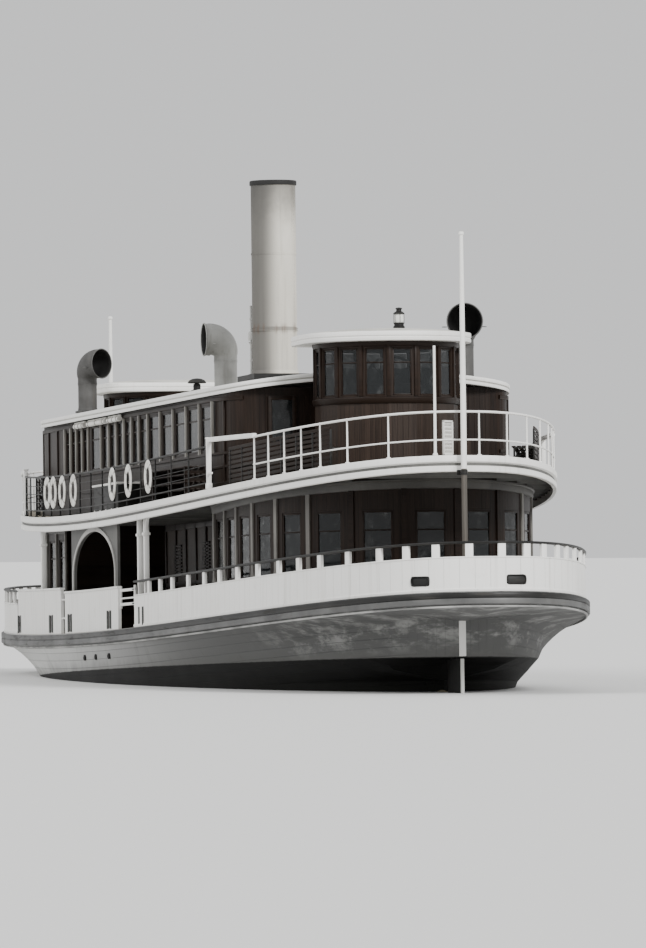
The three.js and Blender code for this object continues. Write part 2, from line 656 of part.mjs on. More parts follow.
// Upper cabin, cut where the two wheelhouse towers stand, with its doors in the end walls
const towerPrism = (radius, z0, z1) => {
  const geometry = new THREE.CylinderGeometry(radius, radius, z1 - z0, tower.sides);
  return geometry.rotateX(Math.PI / 2).rotateZ(Math.PI / tower.sides).translate(tower.x, 0, (z0 + z1) / 2);
};
const { half: cabinHalf, beam: cabinBeam, round: cabinRound, shift: cabinShift } = upperCabin;
const cabinOval = ovalArc(0, 2 * Math.PI, 64, cabinHalf, cabinBeam, cabinRound, cabinShift);
const roofShares = [-1, -0.5, 0, 0.5, 1];
const roofUnder = (y) => cabinRoof.underside + cabinRoof.camber * (1 - (y / cabinRoof.beam) ** 2);
const roofTop = (y) => roofUnder(y) + cabinRoof.depth;
const upperDoor = { y: 1930, width: 540, height: 1800, thick: 45, foot: 110, frame: 60 };

function upperWindows() {
  const rows = [
    // first centre, pitch, count, opening width
    [-6870, 640, 4, 480],
    [-3860, 0, 1, 900],
    [-2780, 810, 5, 600],
    [1280, 0, 1, 720],
    [2370, 1310, 5, 1000],
  ];
  return rows.flatMap(([first, pitch, count, width]) => Array.from({ length: count }, (_, i) => {
    const x = first + pitch * i;
    const across = 2 * cabinBeam;
    return box(x - width / 2, x + width / 2, -across, across, upperCabin.sill, upperCabin.head);
  }));
}

// The end doors: their case and opening, built at the leading end for a wall at a distance from midships
const doorInner = -upperDoor.y + upperDoor.width / 2;
const doorOuter = -upperDoor.y - upperDoor.width / 2;
const doorReach = ovalBeam(doorInner + upperDoor.frame, cabinBeam, cabinHalf, cabinRound) + 20;
const cabinEnds = [
  { end: 'fore', face: doorReach + cabinShift, turned: (geometry) => geometry },
  { end: 'aft', face: doorReach - cabinShift, turned: mirrorEnds },
];

function doorCase({ face, turned }) {
  const head = upperTop(face) + upperDoor.foot + upperDoor.height + upperDoor.frame;
  const [outer, inner] = [doorOuter - upperDoor.frame, doorInner + upperDoor.frame];
  return turned(box(face - 90, face, outer, inner, upperTop(face) + 1, head));
}

function endDoorway({ face, turned }) {
  const foot = upperTop(face) + upperDoor.foot;
  return turned(box(face - 500, face + 300, doorOuter, doorInner, foot, foot + upperDoor.height));
}

function roofSections(shrink, low, high) {
  const { half, beam, round } = cabinRoof;
  const xs = ovalArc(-Math.PI, 0, 28, half - shrink, beam - shrink, round).slice(1, -1).map(([x]) => x);
  return xs.map((x) => {
    const edge = ovalBeam(x, half - shrink, beam - shrink, round);
    const ys = roofShares.map((share) => share * edge);
    const at = x + cabinShift;
    return [...ys.map((y) => [at, y, high(y)]), ...[...ys].reverse().map((y) => [at, y, low(y)])];
  });
}

// Height of the faceted roof over a point
function roofFacet(x, y) {
  const half = ovalBeam(x - cabinShift, cabinRoof.half, cabinRoof.beam, cabinRoof.round) / 2;
  const [near, far] = y < half ? [0, half] : [half, 2 * half];
  return roofTop(near) + ((roofTop(far) - roofTop(near)) * (y - near)) / half;
}

const wallFoot = (x) => upperTop(x) + 0.5 + GAP;
const wallHead = () => cabinRoof.underside + 150;
const cabinWall = band(cabinOval.slice(0, -1), 0, -upperCabin.wall, wallFoot, wallHead, true);
const towerSlot = towerPrism(tower.radius + GAP, 3000, 7400);
const wallTrim = loft(roofSections(0, (y) => roofUnder(y) - GAP, (y) => roofTop(y) + 600));
const doorways = cabinEnds.map(endDoorway);
const wallCuts = [wallTrim, towerSlot, mirrorEnds(towerSlot), ...doorways, ...upperWindows()];
const upperWalls = cut(joined([cabinWall, ...cabinEnds.map(doorCase)]), wallCuts);
for (const half of upperWalls.decompose()) {
  const side = half.boundingBox().min[1] < -cabinBeam / 2 ? 'starboard' : 'port';
  place(`upper_cabin_${side}`, geometryOf(half), 'varnish');
}
const roofBody = loft(roofSections(0, roofUnder, roofTop));
const holeBeam = coaming.beam + GAP;
const funnelHole = box(coaming.x0 - GAP, coaming.x1 + GAP, -holeBeam, holeBeam, 5500, 7000);
const roofCuts = [towerSlot, mirrorEnds(towerSlot), funnelHole];
place('upper_cabin_roof', geometryOf(cut(roofBody, roofCuts)), 'roofCanvas');

for (const { end, face, turned } of cabinEnds) {
  const leaf = doorLeaf(upperDoor.width + 60, upperDoor.height + 50, upperDoor.thick).rotateZ(-Math.PI / 2);
  leaf.translate(face + GAP, doorInner + 30, upperTop(face) + upperDoor.foot - 25);
  place(`upper_cabin_door_${end}`, turned(leaf), 'varnish');
}

// Wheelhouses: many-sided towers with a floor, tall windows, a door on one flat and a low domed roof
function towerFlat(index) {
  const angle = (index * 2 * Math.PI) / tower.sides;
  const reach = tower.radius * Math.cos(Math.PI / tower.sides);
  const [x, y] = [tower.x + reach * Math.cos(angle), reach * Math.sin(angle)];
  return { x, y, heading: angle + Math.PI / 2, angle };
}

const towerDoor = { width: 470, height: 1780, thick: 40 };
const towerSteps = { half: 300, going: 240, count: 3, reach: 1220, under: 60 };
const helm = { x: 11350, axis: 5960, radius: 560, rim: 26, spokes: 8 };
const helmPost = { half: 120, shaftFrom: 190, shaftTo: 110, shaftRadius: 45 };

// Moves what is built facing +Y at the origin on to a flat of the tower
const ontoFlat = (geometry, flat) => geometry.rotateZ(flat.angle - Math.PI / 2).translate(flat.x, flat.y, 0);

function steps(flat, drop) {
  const { half, going, count, reach, under } = towerSteps;
  const foot = upperTop(Math.max(tower.x + tower.radius, flat.x + reach)) + 0.5 + GAP + drop;
  const rise = (tower.floor - under - foot) / count;
  return Array.from({ length: count }, (_, i) => {
    const [low, high] = [foot + Math.max(0, rise * i - 5), foot + rise * (i + 1)];
    return ontoFlat(box(-half, half, -30, 20 + going * (count - i), low, high), flat);
  });
}

function wheelhouseNodes(end, turned) {
  const { doorFlat, shortFrom, shortTo, shortSill, drop } = towerEnds[end];
  const set = (geometry) => turned(geometry).translate(0, 0, -drop);
  const foot = upperTop(tower.x + tower.radius) + 0.5 + GAP + drop;
  const bore = towerPrism(tower.radius - tower.wall, foot - 50, tower.top + 50);
  const tube = cut(towerPrism(tower.radius, foot, tower.top), [bore]);
  const { half, shaftFrom, shaftTo, shaftRadius } = helmPost;
  const pedestal = [
    box(helm.x - half, helm.x + half, -half, half, tower.floor - 20, helm.axis + 40),
    lengthwise(helm.x - shaftFrom, helm.x - shaftTo, 0, helm.axis, shaftRadius, 14),
  ];
  const floor = towerPrism(tower.radius - tower.wall + 5, tower.floor - tower.floorThick, tower.floor);
  const flats = Array.from({ length: tower.sides }, (_, i) => i).filter((i) => i !== doorFlat);
  const windows = flats.map((i) => {
    const sill = i >= shortFrom && i <= shortTo ? shortSill : towerGlass.sill;
    return blockAt(towerFlat(i), towerGlass.width, 400, sill, towerGlass.head);
  });
  const flat = towerFlat(doorFlat);
  const doorway = blockAt(flat, towerDoor.width, 400, tower.floor + 5, tower.floor + towerDoor.height);
  const cutTube = cut(joined([tube, floor]), [...windows, doorway]);
  const house = geometryOf(joined([cutTube, ...pedestal, ...steps(flat, drop)]));
  place(`wheelhouse_${end}`, set(house), 'varnish');
  const leaf = doorLeaf(towerDoor.width + 60, towerDoor.height + 40, towerDoor.thick);
  leaf.translate(-towerDoor.width / 2 - 30, GAP, tower.floor - 20);
  place(`wheelhouse_door_${end}`, set(ontoFlat(leaf, flat)), 'varnish');
  const [edge, crown] = [tower.top + towerRoof.edge, tower.top + towerRoof.edge + towerRoof.crown];
  const roof = new THREE.LatheGeometry([
    [0, tower.top + GAP], [towerRoof.radius, tower.top + GAP], [towerRoof.radius, edge],
    [towerRoof.radius * 0.7, edge + towerRoof.crown * 0.55], [0, crown],
  ].map(([r, z]) => new THREE.Vector2(r, z)), 32);
  place(`wheelhouse_roof_${end}`, set(roof.rotateX(Math.PI / 2).translate(tower.x, 0, 0)), 'whitePaint');
}

function helmNodes(end, turned) {
  const rimRing = new THREE.TorusGeometry(helm.radius, helm.rim, 5, 24).rotateY(Math.PI / 2);
  const spokes = Array.from({ length: helm.spokes / 2 }, (_, i) => {
    const bar = new THREE.CylinderGeometry(15, 15, 2 * (helm.radius + 150), 4);
    return bar.rotateX((i * 2 * Math.PI) / helm.spokes);
  });
  const hub = lengthwise(-50, 50, 0, 0, 80, 14);
  const wheel = geometryOf(joined([rimRing, hub, ...spokes])).translate(helm.x - 240 - GAP, 0, helm.axis);
  place(`steering_wheel_${end}`, turned(wheel).translate(0, 0, -towerEnds[end].drop), 'varnish');
}

for (const { end, turned } of cabinEnds) {
  wheelhouseNodes(end, turned);
  helmNodes(end, turned);
}

// Uptake casing through the upper cabin, the coaming on it, and the funnel and whistle pipe on the coaming
const uptakeTop = roofUnder(uptake.beam) - 25;
const uptakeFoot = upperTop(uptake.x1) + 1;
const uptakeBlock = box(uptake.x0, uptake.x1, -uptake.beam, uptake.beam, uptakeFoot, uptakeTop);
place('uptake_casing', uptakeBlock, 'varnish');
const coamingBlock = box(coaming.x0, coaming.x1, -coaming.beam, coaming.beam, uptakeTop + GAP, coaming.top);
place('funnel_coaming', coamingBlock, 'darkPaint');
const [inside, outside, lip] = [funnel.radius - funnel.wall, funnel.radius, funnel.top - funnel.crownDepth];
const funnelTube = new THREE.LatheGeometry([
  [inside, coaming.top + GAP], [outside, coaming.top + GAP], [outside, lip], [outside + funnel.crown, lip],
  [outside + funnel.crown, funnel.top], [inside, funnel.top], [inside, coaming.top + GAP],
].map(([r, z]) => new THREE.Vector2(r, z)), 32).rotateX(Math.PI / 2).translate(funnel.x, 0, 0);
place('funnel', geometryOf(solid(funnelTube)), 'funnelPaint');
const whistle = { x: -370, y: -380, radius: 32, top: 8150, hornLow: 7330, hornRadius: 70 };
place('whistle_pipe', geometryOf(joined([
  upright(whistle.x, whistle.y, coaming.top + GAP, whistle.top, whistle.radius, 10),
  upright(whistle.x, whistle.y, whistle.hornLow, whistle.hornLow + 260, whistle.hornRadius, 12),
])), 'bronze');

// Turning cowl ventilators: a trunk on the roof and a bent head that turns on the collar of its trunk
const cowlSeat = { below: 100, collar: 14, collarDepth: 40, metal: 12, riseToBend: 160 };
const cowls = [
  // name, x, y, trunk top, mouth radius, trunk radius, facing angle in degrees
  ['midship', -2300, -530, 7080, 360, 250, -100],
  ['port', 7850, 2330, 6950, 375, 210, -10],
  ['starboard', -8100, -2430, 6830, 330, 210, 36],
];

function cowlHead(radius, mouth) {
  const rise = cowlSeat.riseToBend;
  const rings = [
    // forward, up, radius, tilt of the ring
    [0, 0, radius + 5, 0],
    [0, rise, radius + 5, 0],
    [mouth * 0.35, rise + mouth * 0.8, mouth * 0.92, 0.9],
    [mouth * 1.35, rise + mouth * 1.05, mouth, Math.PI / 2],
  ];
  const skin = (outer) => loft(rings.map(([x, z, size, tilt]) => Array.from({ length: 20 }, (_, j) => {
    const a = (j * 2 * Math.PI) / 20;
    const [across, r] = [(size + outer) * Math.cos(a), size + outer];
    return [x + across * Math.cos(tilt), r * Math.sin(a), z - across * Math.sin(tilt)];
  })));
  return [skin(8), skin(0)];
}

for (const [name, x, y, top, mouth, radius, facing] of cowls) {
  const foot = roofFacet(x, Math.abs(y) - radius) + 2 * GAP;
  const seat = top - cowlSeat.below;
  const collar = upright(x, y, seat - cowlSeat.collarDepth, seat - GAP, radius + cowlSeat.collar, 20);
  const bore = upright(x, y, foot + 30, top + 10, radius - cowlSeat.metal, 20);
  const trunk = cut(joined([upright(x, y, foot, top, radius, 20), collar]), [bore]);
  place(`cowl_trunk_${name}`, geometryOf(trunk), 'galvanised');
  const [outer, inner] = cowlHead(radius, mouth);
  const innerLong = inner.clone().translate(0, 0, -0.01);
  const head = solid(outer).subtract(solid(innerLong));
  const turned = geometryOf(head).rotateZ((facing * Math.PI) / 180).translate(x, y, seat);
  place(`cowl_head_${name}`, turned, 'galvanised');
}

// Staffs at both ends of the upper deck, stepped on the main deck
const staff = { x: 17240, radius: 58, top: 8740 };
const foreStaff = upright(staff.x, 0, mainTop(staff.x + 60) + GAP, staff.top, staff.radius, 14);
place('staff_fore', foreStaff, 'whitePaint');
place('staff_aft', mirrorEnds(foreStaff), 'whitePaint');

// Bitts on the main deck at both ends
const bitts = { x: 16300, y: -900, radius: 105, rise: 620, spread: 420, margin: 150, plate: 40 };

function bittPair() {
  const { x, y, radius, rise, spread, margin, plate } = bitts;
  const reach = spread / 2 + margin;
  const foot = mainTop(x + reach + 10) + GAP;
  const base = box(x - reach, x + reach, y - margin, y + margin, foot, foot + plate);
  const heads = [x - spread / 2, x + spread / 2]
    .map((at) => upright(at, y, foot + plate / 2, foot + rise, radius, 14));
  return geometryOf(joined([base, ...heads]));
}

place('bitts_fore', bittPair(), 'darkPaint');
place('bitts_aft', mirrorEnds(bittPair()), 'darkPaint');

// Screws and rudders under the two ends
function screwBody() {
  const hub = lengthwise(screw.hubFrom, screw.hubTo, 0, screw.z, screw.hub, 20);
  const tailShaft = lengthwise(shaft.from + GAP, shaft.to, 0, screw.z, shaft.radius, 20);
  const blades = Array.from({ length: screw.blades }, (_, i) => {
    const outline = new THREE.Shape();
    outline.moveTo(-70, 100);
    outline.bezierCurveTo(-290, 400, -250, 800, 0, screw.radius);
    outline.bezierCurveTo(250, 800, 290, 400, 70, 100);
    const blade = new THREE.ExtrudeGeometry(outline, { depth: 30, bevelEnabled: false, curveSegments: 6 });
    blade.translate(0, 0, -15).rotateY(0.55).rotateX(Math.PI / 2);
    return blade.rotateX((i * 2 * Math.PI) / screw.blades).translate(screw.bladesAt, 0, screw.z);
  });
  return geometryOf(joined([hub, tailShaft, ...blades]));
}

place('propeller_fore', screwBody(), 'bronze');
place('propeller_aft', mirrorEnds(screwBody()), 'bronze');

function rudderBody() {
  const half = rudder.thick / 2;
  const plan = [
    [rudder.inner, 22], [rudder.stock, half], [rudder.outer, 30],
    [rudder.outer, -30], [rudder.stock, -half], [rudder.inner, -22],
  ];
  const shape = new THREE.Shape(plan.map(([x, y]) => new THREE.Vector2(x, y)));
  const blade = new THREE.ExtrudeGeometry(shape, { depth: rudder.top - rudder.bottom, bevelEnabled: false });
  blade.translate(0, 0, rudder.bottom);
  const pintleFoot = keel.soleTop - rudderPins.sunk + GAP;
  const stock = upright(rudder.stock, 0, rudder.top - 30, rudderPins.stockTop, rudderPins.stock, 20);
  const pintle = upright(rudder.stock, 0, pintleFoot, rudder.bottom + 30, rudderPins.pintle, 16);
  return geometryOf(joined([blade, stock, pintle]));
}

place('rudder_fore', rudderBody(), 'darkPaint');
place('rudder_aft', mirrorEnds(rudderBody()), 'darkPaint');

export default ferry;
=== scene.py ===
"""Looks of a double-ended passenger steam ferry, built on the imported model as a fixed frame."""
import math

import bpy
from mathutils import Matrix, Vector


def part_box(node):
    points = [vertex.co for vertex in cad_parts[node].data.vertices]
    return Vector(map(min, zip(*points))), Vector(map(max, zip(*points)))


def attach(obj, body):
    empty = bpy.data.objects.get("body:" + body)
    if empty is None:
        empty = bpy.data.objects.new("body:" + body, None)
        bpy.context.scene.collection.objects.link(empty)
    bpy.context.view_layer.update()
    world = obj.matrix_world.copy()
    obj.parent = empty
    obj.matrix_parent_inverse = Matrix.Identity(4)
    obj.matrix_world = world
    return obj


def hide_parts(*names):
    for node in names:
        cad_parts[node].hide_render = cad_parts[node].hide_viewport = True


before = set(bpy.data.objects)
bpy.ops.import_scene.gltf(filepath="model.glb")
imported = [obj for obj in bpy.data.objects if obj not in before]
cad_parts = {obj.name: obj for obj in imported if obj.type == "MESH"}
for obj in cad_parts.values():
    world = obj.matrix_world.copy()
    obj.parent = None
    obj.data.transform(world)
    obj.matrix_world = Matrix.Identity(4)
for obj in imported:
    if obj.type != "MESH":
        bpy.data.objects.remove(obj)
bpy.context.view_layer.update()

# Camera: a long lens far off the starboard bow, low over the water.
# The ship floats about a degree and a half down by the head, so the water plane is tilted, not the ship.
picture_height = 948
focal_pixels = 9549.6
eye = Vector((201.336, -45.262, -1.938))
ahead = Vector((-0.97403463, 0.22426215, 0.03103269))
overhead = Vector((0.03293909, 0.00476368, 0.99944601))
right = ahead.cross(overhead)
trim = 0.025875

camera_data = bpy.data.cameras.new("photo_camera")
camera_data.sensor_width = 36.0
camera_data.sensor_fit = "AUTO"
camera_data.lens = 36.0 * focal_pixels / picture_height
camera_data.clip_start = 5.0
camera_data.clip_end = 4000.0
camera = bpy.data.objects.new("photo_camera", camera_data)
bpy.context.scene.collection.objects.link(camera)
camera.matrix_world = Matrix((
    (right.x, overhead.x, -ahead.x, eye.x),
    (right.y, overhead.y, -ahead.y, eye.y),
    (right.z, overhead.z, -ahead.z, eye.z),
    (0.0, 0.0, 0.0, 1.0),
))
bpy.context.scene.camera = camera

# Water: a plain pale floor through the waterline.
# A soft sun stands behind the camera and a second, broader light over the starboard side.
bpy.ops.object.select_all(action="DESELECT")
bpy.ops.mesh.primitive_plane_add(size=1600.0, rotation=(0.0, trim, 0.0))
floor = bpy.context.object
floor.name = "water_floor"
floor_paint = bpy.data.materials.new("pale_floor")
floor_paint.use_nodes = True
floor_shader = floor_paint.node_tree.nodes["Principled BSDF"]
floor_shader.inputs["Base Color"].default_value = (0.72, 0.72, 0.71, 1.0)
floor_shader.inputs["Roughness"].default_value = 0.55
floor.data.materials.append(floor_paint)

sky = bpy.data.worlds.new("pale_sky")
sky.use_nodes = True
sky.node_tree.nodes["Background"].inputs["Color"].default_value = (0.9, 0.905, 0.91, 1.0)
sky.node_tree.nodes["Background"].inputs["Strength"].default_value = 0.92
bpy.context.scene.world = sky

for name, energy, spread_angle, direction in (
    ("harbour_sun", 3.6, 14.0, (-0.8, -0.3, -0.5)),
    ("side_sky", 1.6, 40.0, (-0.25, 0.76, -0.62)),
):
    lamp = bpy.data.lights.new(name, "SUN")
    lamp.energy = energy
    lamp.angle = math.radians(spread_angle)
    sun = bpy.data.objects.new(name, lamp)
    sun.rotation_mode = "QUATERNION"
    sun.rotation_quaternion = Vector(direction).to_track_quat("-Z", "Y")
    bpy.context.scene.collection.objects.link(sun)

# Hull: wooden planking on sawn frames, the same form at both ends, painted grey over a black boot-top.
# Each end has a rounded overhanging bow above a thin deadwood that is open for the screw and the rudder.
ship_sides = ((-1, "starboard"), (1, "port"))
end_turns = {"fore": Matrix.Identity(4), "aft": Matrix.Rotation(math.pi, 4, "Z")}
main = {"half": 19.5, "beam": 4.03, "round": 2.552, "height": 1.107, "sheer": 0.4335}
upper = {"half": 17.09, "beam": 4.105, "round": 2.356, "height": 3.665, "sheer": 0.6345}
keel = {"bottom": -2.45, "half": 0.09, "sole": -2.2, "post": 14.95, "stem": 16.93, "head": 1.0}
shaft = {"height": -1.2, "tube": 0.19}
waterlines = [
    # height, half breadth, fullness, half length
    (-2.25, 0.15, 2.0, 14.6),
    (-2.1, 0.9, 1.5, 14.6),
    (-1.8, 2.15, 1.6, 14.65),
    (-1.3, 3.15, 1.75, 14.7),
    (-0.7, 3.72, 1.9, 14.75),
    (-0.16, 3.93, 1.95, 14.85),
    (0.06, 3.96, 1.95, 16.0),
    (0.3, 3.975, 2.0, 16.93),
]
flare = (0.15, 0.3, 0.47, 0.65, 0.83, 1.0)
guard_foot = 0.27


def oval(x, half, beam, fullness):
    return beam * max(0.0, 1.0 - abs(x / half) ** fullness) ** (1.0 / fullness)


def edge_at(plan, x, inset=0.0):
    """Half breadth of a deck, or of another rounded outline, at a station."""
    return oval(x, plan["half"] - inset, plan["beam"] - inset, plan["round"])


def main_top(x):
    return main["height"] + main["sheer"] * (x / main["half"]) ** 2


def upper_top(x):
    return upper["height"] + upper["sheer"] * (x / upper["half"]) ** 2


def hull_half(x):
    """Points of one side of the hull at a station, from the keel to the deck edge."""
    deck, foot = edge_at(main, x), main_top(x) - guard_foot
    points = [(keel["half"], keel["bottom"])]
    points += [(max(keel["half"], oval(x, half, beam, full)), z) for z, beam, full, half in waterlines]
    knee, bend = points[-1]
    power = 1.0 + 11.0 * abs(x / waterlines[-1][3]) ** 8
    points += [
        (knee + (deck - knee) * share, bend + (foot - bend) * share ** (1.0 / power))
        for share in flare
    ]
    points.append((deck, main_top(x)))
    if abs(x) < keel["post"]:
        return points
    # the section is lifted out of the opening for the screw and the rudder
    roof = -0.15 + 0.43 * min(1.0, max(0.0, (abs(x) - 15.4) / 0.2))
    above = next(i for i, (_, z) in enumerate(points) if z > roof)
    (y0, z0), (y1, z1) = points[above - 1], points[above]
    edge = y0 + (y1 - y0) * (roof - z0) / (z1 - z0)
    lifted = [(keel["half"] * (i + 1) / above, roof) for i in range(above - 1)]
    return lifted + [(max(edge, keel["half"]), roof)] + points[above:]


def overhang_half(x):
    """Points of one side of the bow that hangs out beyond the stem."""
    deck, top = edge_at(main, x), main_top(x) - guard_foot
    foot = keel["head"] + (
        (top - 0.04 - keel["head"]) * (abs(x) - keel["stem"]) / (main["half"] - keel["stem"])
    )
    points = [(keel["half"], foot)]
    for share in flare:
        points.append((keel["half"] + (deck - keel["half"]) * share, foot + (top - foot) * share ** 0.5))
    return points + [(deck, main_top(x))]


def both_sides(points, x):
    """A whole section across the ship from the points of its port side, keel to keel."""
    port = [(x, y, z) for y, z in points]
    return port + [(x, -y, z) for x, y, z in reversed(port)] + [port[0]]


def spread(start, stop, count):
    """Evenly spaced values from start to stop."""
    return [start + (stop - start) * i / count for i in range(count + 1)]


def along(start, stop, count, bunch=1.0):
    """Values that close up towards the stop."""
    return [start + (stop - start) * (1.0 - (1.0 - i / count) ** bunch) for i in range(count + 1)]


def mirrored(values):
    return [-v for v in reversed(values[1:])] + values


def clear(*pieces):
    """Leaves edit mode with only these pieces selected, the first one active."""
    if bpy.context.object and bpy.context.object.mode != "OBJECT":
        bpy.ops.object.mode_set(mode="OBJECT")
    bpy.ops.object.select_all(action="DESELECT")
    for piece in pieces:
        piece.select_set(True)
    if pieces:
        bpy.context.view_layer.objects.active = pieces[0]


def edit(piece):
    clear(piece)
    bpy.ops.object.mode_set(mode="EDIT")
    bpy.ops.mesh.select_all(action="SELECT")


def skin(rows, fill=True, origin=0.0):
    """A grid bent on to rows of points and closed; its UV map holds metres along the rows and across them."""
    clear()
    bpy.ops.mesh.primitive_grid_add(x_subdivisions=len(rows[0]) - 1, y_subdivisions=len(rows) - 1)
    piece = bpy.context.object
    run, measure = origin, []
    for before, row in zip([rows[0], *rows], rows):
        run += (Vector(row[0]) - Vector(before[0])).length
        across = 0.0
        for last, point in zip([row[0], *row], row):
            across += (Vector(point) - Vector(last)).length
            measure.append((run, across))
    for vertex, point in zip(piece.data.vertices, (point for row in rows for point in row)):
        vertex.co = point
    chart = piece.data.uv_layers.active.data
    for loop in piece.data.loops:
        chart[loop.index].uv = measure[loop.vertex_index]
    edit(piece)
    bpy.ops.mesh.remove_doubles(threshold=0.0004)
    if fill:
        bpy.ops.mesh.select_all(action="DESELECT")
        bpy.ops.mesh.select_non_manifold(extend=False)
        bpy.ops.mesh.fill_holes(sides=0)
    bpy.ops.mesh.select_all(action="SELECT")
    bpy.ops.mesh.normals_make_consistent(inside=False)
    clear()
    return piece


def settled(piece):
    """A primitive with its place, turn and size put into its mesh."""
    bpy.ops.object.transform_apply(location=True, rotation=True, scale=True)
    return piece


def block(low, high, bevel=0.006, segments=2):
    """A rounded block between two opposite corners."""
    clear()
    centre = [(a + b) / 2 for a, b in zip(low, high)]
    bpy.ops.mesh.primitive_cube_add(size=1.0, location=centre, scale=[abs(b - a) for a, b in zip(low, high)])
    piece = settled(bpy.context.object)
    if bevel:
        edit(piece)
        bpy.ops.mesh.bevel(offset=bevel, offset_type="OFFSET", segments=segments, affect="EDGES")
        clear()
    return piece


def post(x, y, half, low, high, bevel=0.012):
    """A square upright about a point of the deck."""
    return block((x - half, y - half, low), (x + half, y + half, high), bevel)


def rod(start, stop, radius, sides=16, tip=None):
    """A round bar between two points, closed at both ends."""
    clear()
    start, stop = Vector(start), Vector(stop)
    run = stop - start
    bpy.ops.mesh.primitive_cone_add(
        vertices=sides, radius1=radius, radius2=radius if tip is None else tip, depth=run.length,
        location=(start + stop) / 2, rotation=run.to_track_quat("Z", "Y").to_euler(),
    )
    return settled(bpy.context.object)


def upright(x, y, low, high, radius, sides=16, tip=None):
    return rod((x, y, low), (x, y, high), radius, sides, tip)


def torus(major, minor, segments, sides, location=(0.0, 0.0, 0.0), rotation=(0.0, 0.0, 0.0)):
    clear()
    bpy.ops.mesh.primitive_torus_add(
        major_radius=major, minor_radius=minor, major_segments=segments, minor_segments=sides,
        location=location, rotation=rotation,
    )
    return settled(bpy.context.object)


def moved(piece, matrix):
    piece.data.transform(matrix)
    return piece


def copies(model, places):
    """Copies of a model, each with its own mesh, at some places; the model itself is scrapped."""
    made = []
    for place in places:
        copy = model.copy()
        copy.data = model.data.copy()
        bpy.context.scene.collection.objects.link(copy)
        made.append(moved(copy, place))
    bpy.data.objects.remove(model)
    return made


def cut(piece, cutter):
    clear(piece)
    modifier = piece.modifiers.new("cut", "BOOLEAN")
    modifier.operation = "DIFFERENCE"
    modifier.object = cutter
    modifier.solver = "EXACT"
    bpy.ops.object.modifier_apply(modifier=modifier.name)
    bpy.data.objects.remove(cutter)
    clear()


def set_at(x, y, z, heading=0.0):
    return Matrix.Translation((x, y, z)) @ Matrix.Rotation(heading, 4, "Z")


def join(pieces):
    clear(*pieces)
    if len(pieces) > 1:
        bpy.ops.object.join()
    return pieces[0]


def finish(made, name, paint, replaces=None, body="ship", smooth=30.0, place=None):
    """Names a made piece or a list of them, puts it in place and gives it its paint and its body."""
    piece = join(made) if isinstance(made, list) else made
    if place:
        moved(piece, place)
    clear(piece)
    piece.name = name
    piece.data.name = name
    piece.data.materials.clear()
    piece.data.materials.append(paint.material)
    settled(piece)
    bpy.ops.object.shade_smooth_by_angle(angle=math.radians(smooth))
    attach(piece, body)
    if replaces:
        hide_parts(replaces)
    clear()


def finish_ends(made, name, paint, replaces="", smooth=30.0, body="ship"):
    """Finishes a piece of the fore end and its copy for the aft end; their names have {} for the end."""
    model = join(made) if isinstance(made, list) else made
    for (end, turn), piece in zip(end_turns.items(), copies(model, end_turns.values())):
        finish(piece, name.format(end), paint, replaces.format(end), body.format(end), smooth)


def arithmetic(operation, swapped=False):
    return lambda self, other: self.math(operation, *((other, self) if swapped else (self, other)))


class Wire:
    """A shader socket that takes part in plain arithmetic; every other node comes from node()."""

    def __init__(self, tree, socket=None):
        self.tree = tree
        self.socket = socket

    def node(self, kind, settings=None, inputs=None, output=0):
        made = self.tree.nodes.new(kind)
        for key, value in (settings or {}).items():
            setattr(made, key, value)
        for key, value in (inputs or {}).items():
            if isinstance(value, Wire):
                self.tree.links.new(value.socket, made.inputs[key])
            else:
                made.inputs[key].default_value = value
        return Wire(self.tree, made.outputs[output])

    def math(self, operation, first, second=0.0):
        return self.node("ShaderNodeMath", {"operation": operation}, {0: first, 1: second})

    __add__ = __radd__ = arithmetic("ADD")
    __mul__ = __rmul__ = arithmetic("MULTIPLY")
    __sub__ = arithmetic("SUBTRACT")
    __rsub__ = arithmetic("SUBTRACT", True)
    __truediv__ = arithmetic("DIVIDE")
    __gt__ = arithmetic("GREATER_THAN")
    __lt__ = arithmetic("LESS_THAN")

    def wrap(self):
        """The part after the whole number."""
        return self.math("FRACT", self)

    def whole(self):
        return self.math("FLOOR", self)

    def size(self):
        return self.math("ABSOLUTE", self)

    def ramp(self, low, high):
        """0 below low, 1 above high, smooth between."""
        settings = {"interpolation_type": "SMOOTHSTEP"}
        return self.node("ShaderNodeMapRange", settings, {"Value": self, "From Min": low, "From Max": high})

    def blend(self, first, second):
        """First value where this is 0, second where it is 1."""
        return first + self * (second - first)

    def mix(self, first, second):
        """First colour where this is 0, second where it is 1."""
        colours = [c if isinstance(c, Wire) else (*c, 1.0) for c in (first, second)]
        return self.node(
            "ShaderNodeMix", {"data_type": "RGBA"}, {"Factor": self, 6: colours[0], 7: colours[1]}, output=2
        )

    def under(self, *coats):
        """This colour under some coats, each with its mask, its strength and its colour."""
        colour = self
        for mask, strength, coat in coats:
            colour = (mask * strength).mix(colour, coat)
        return colour


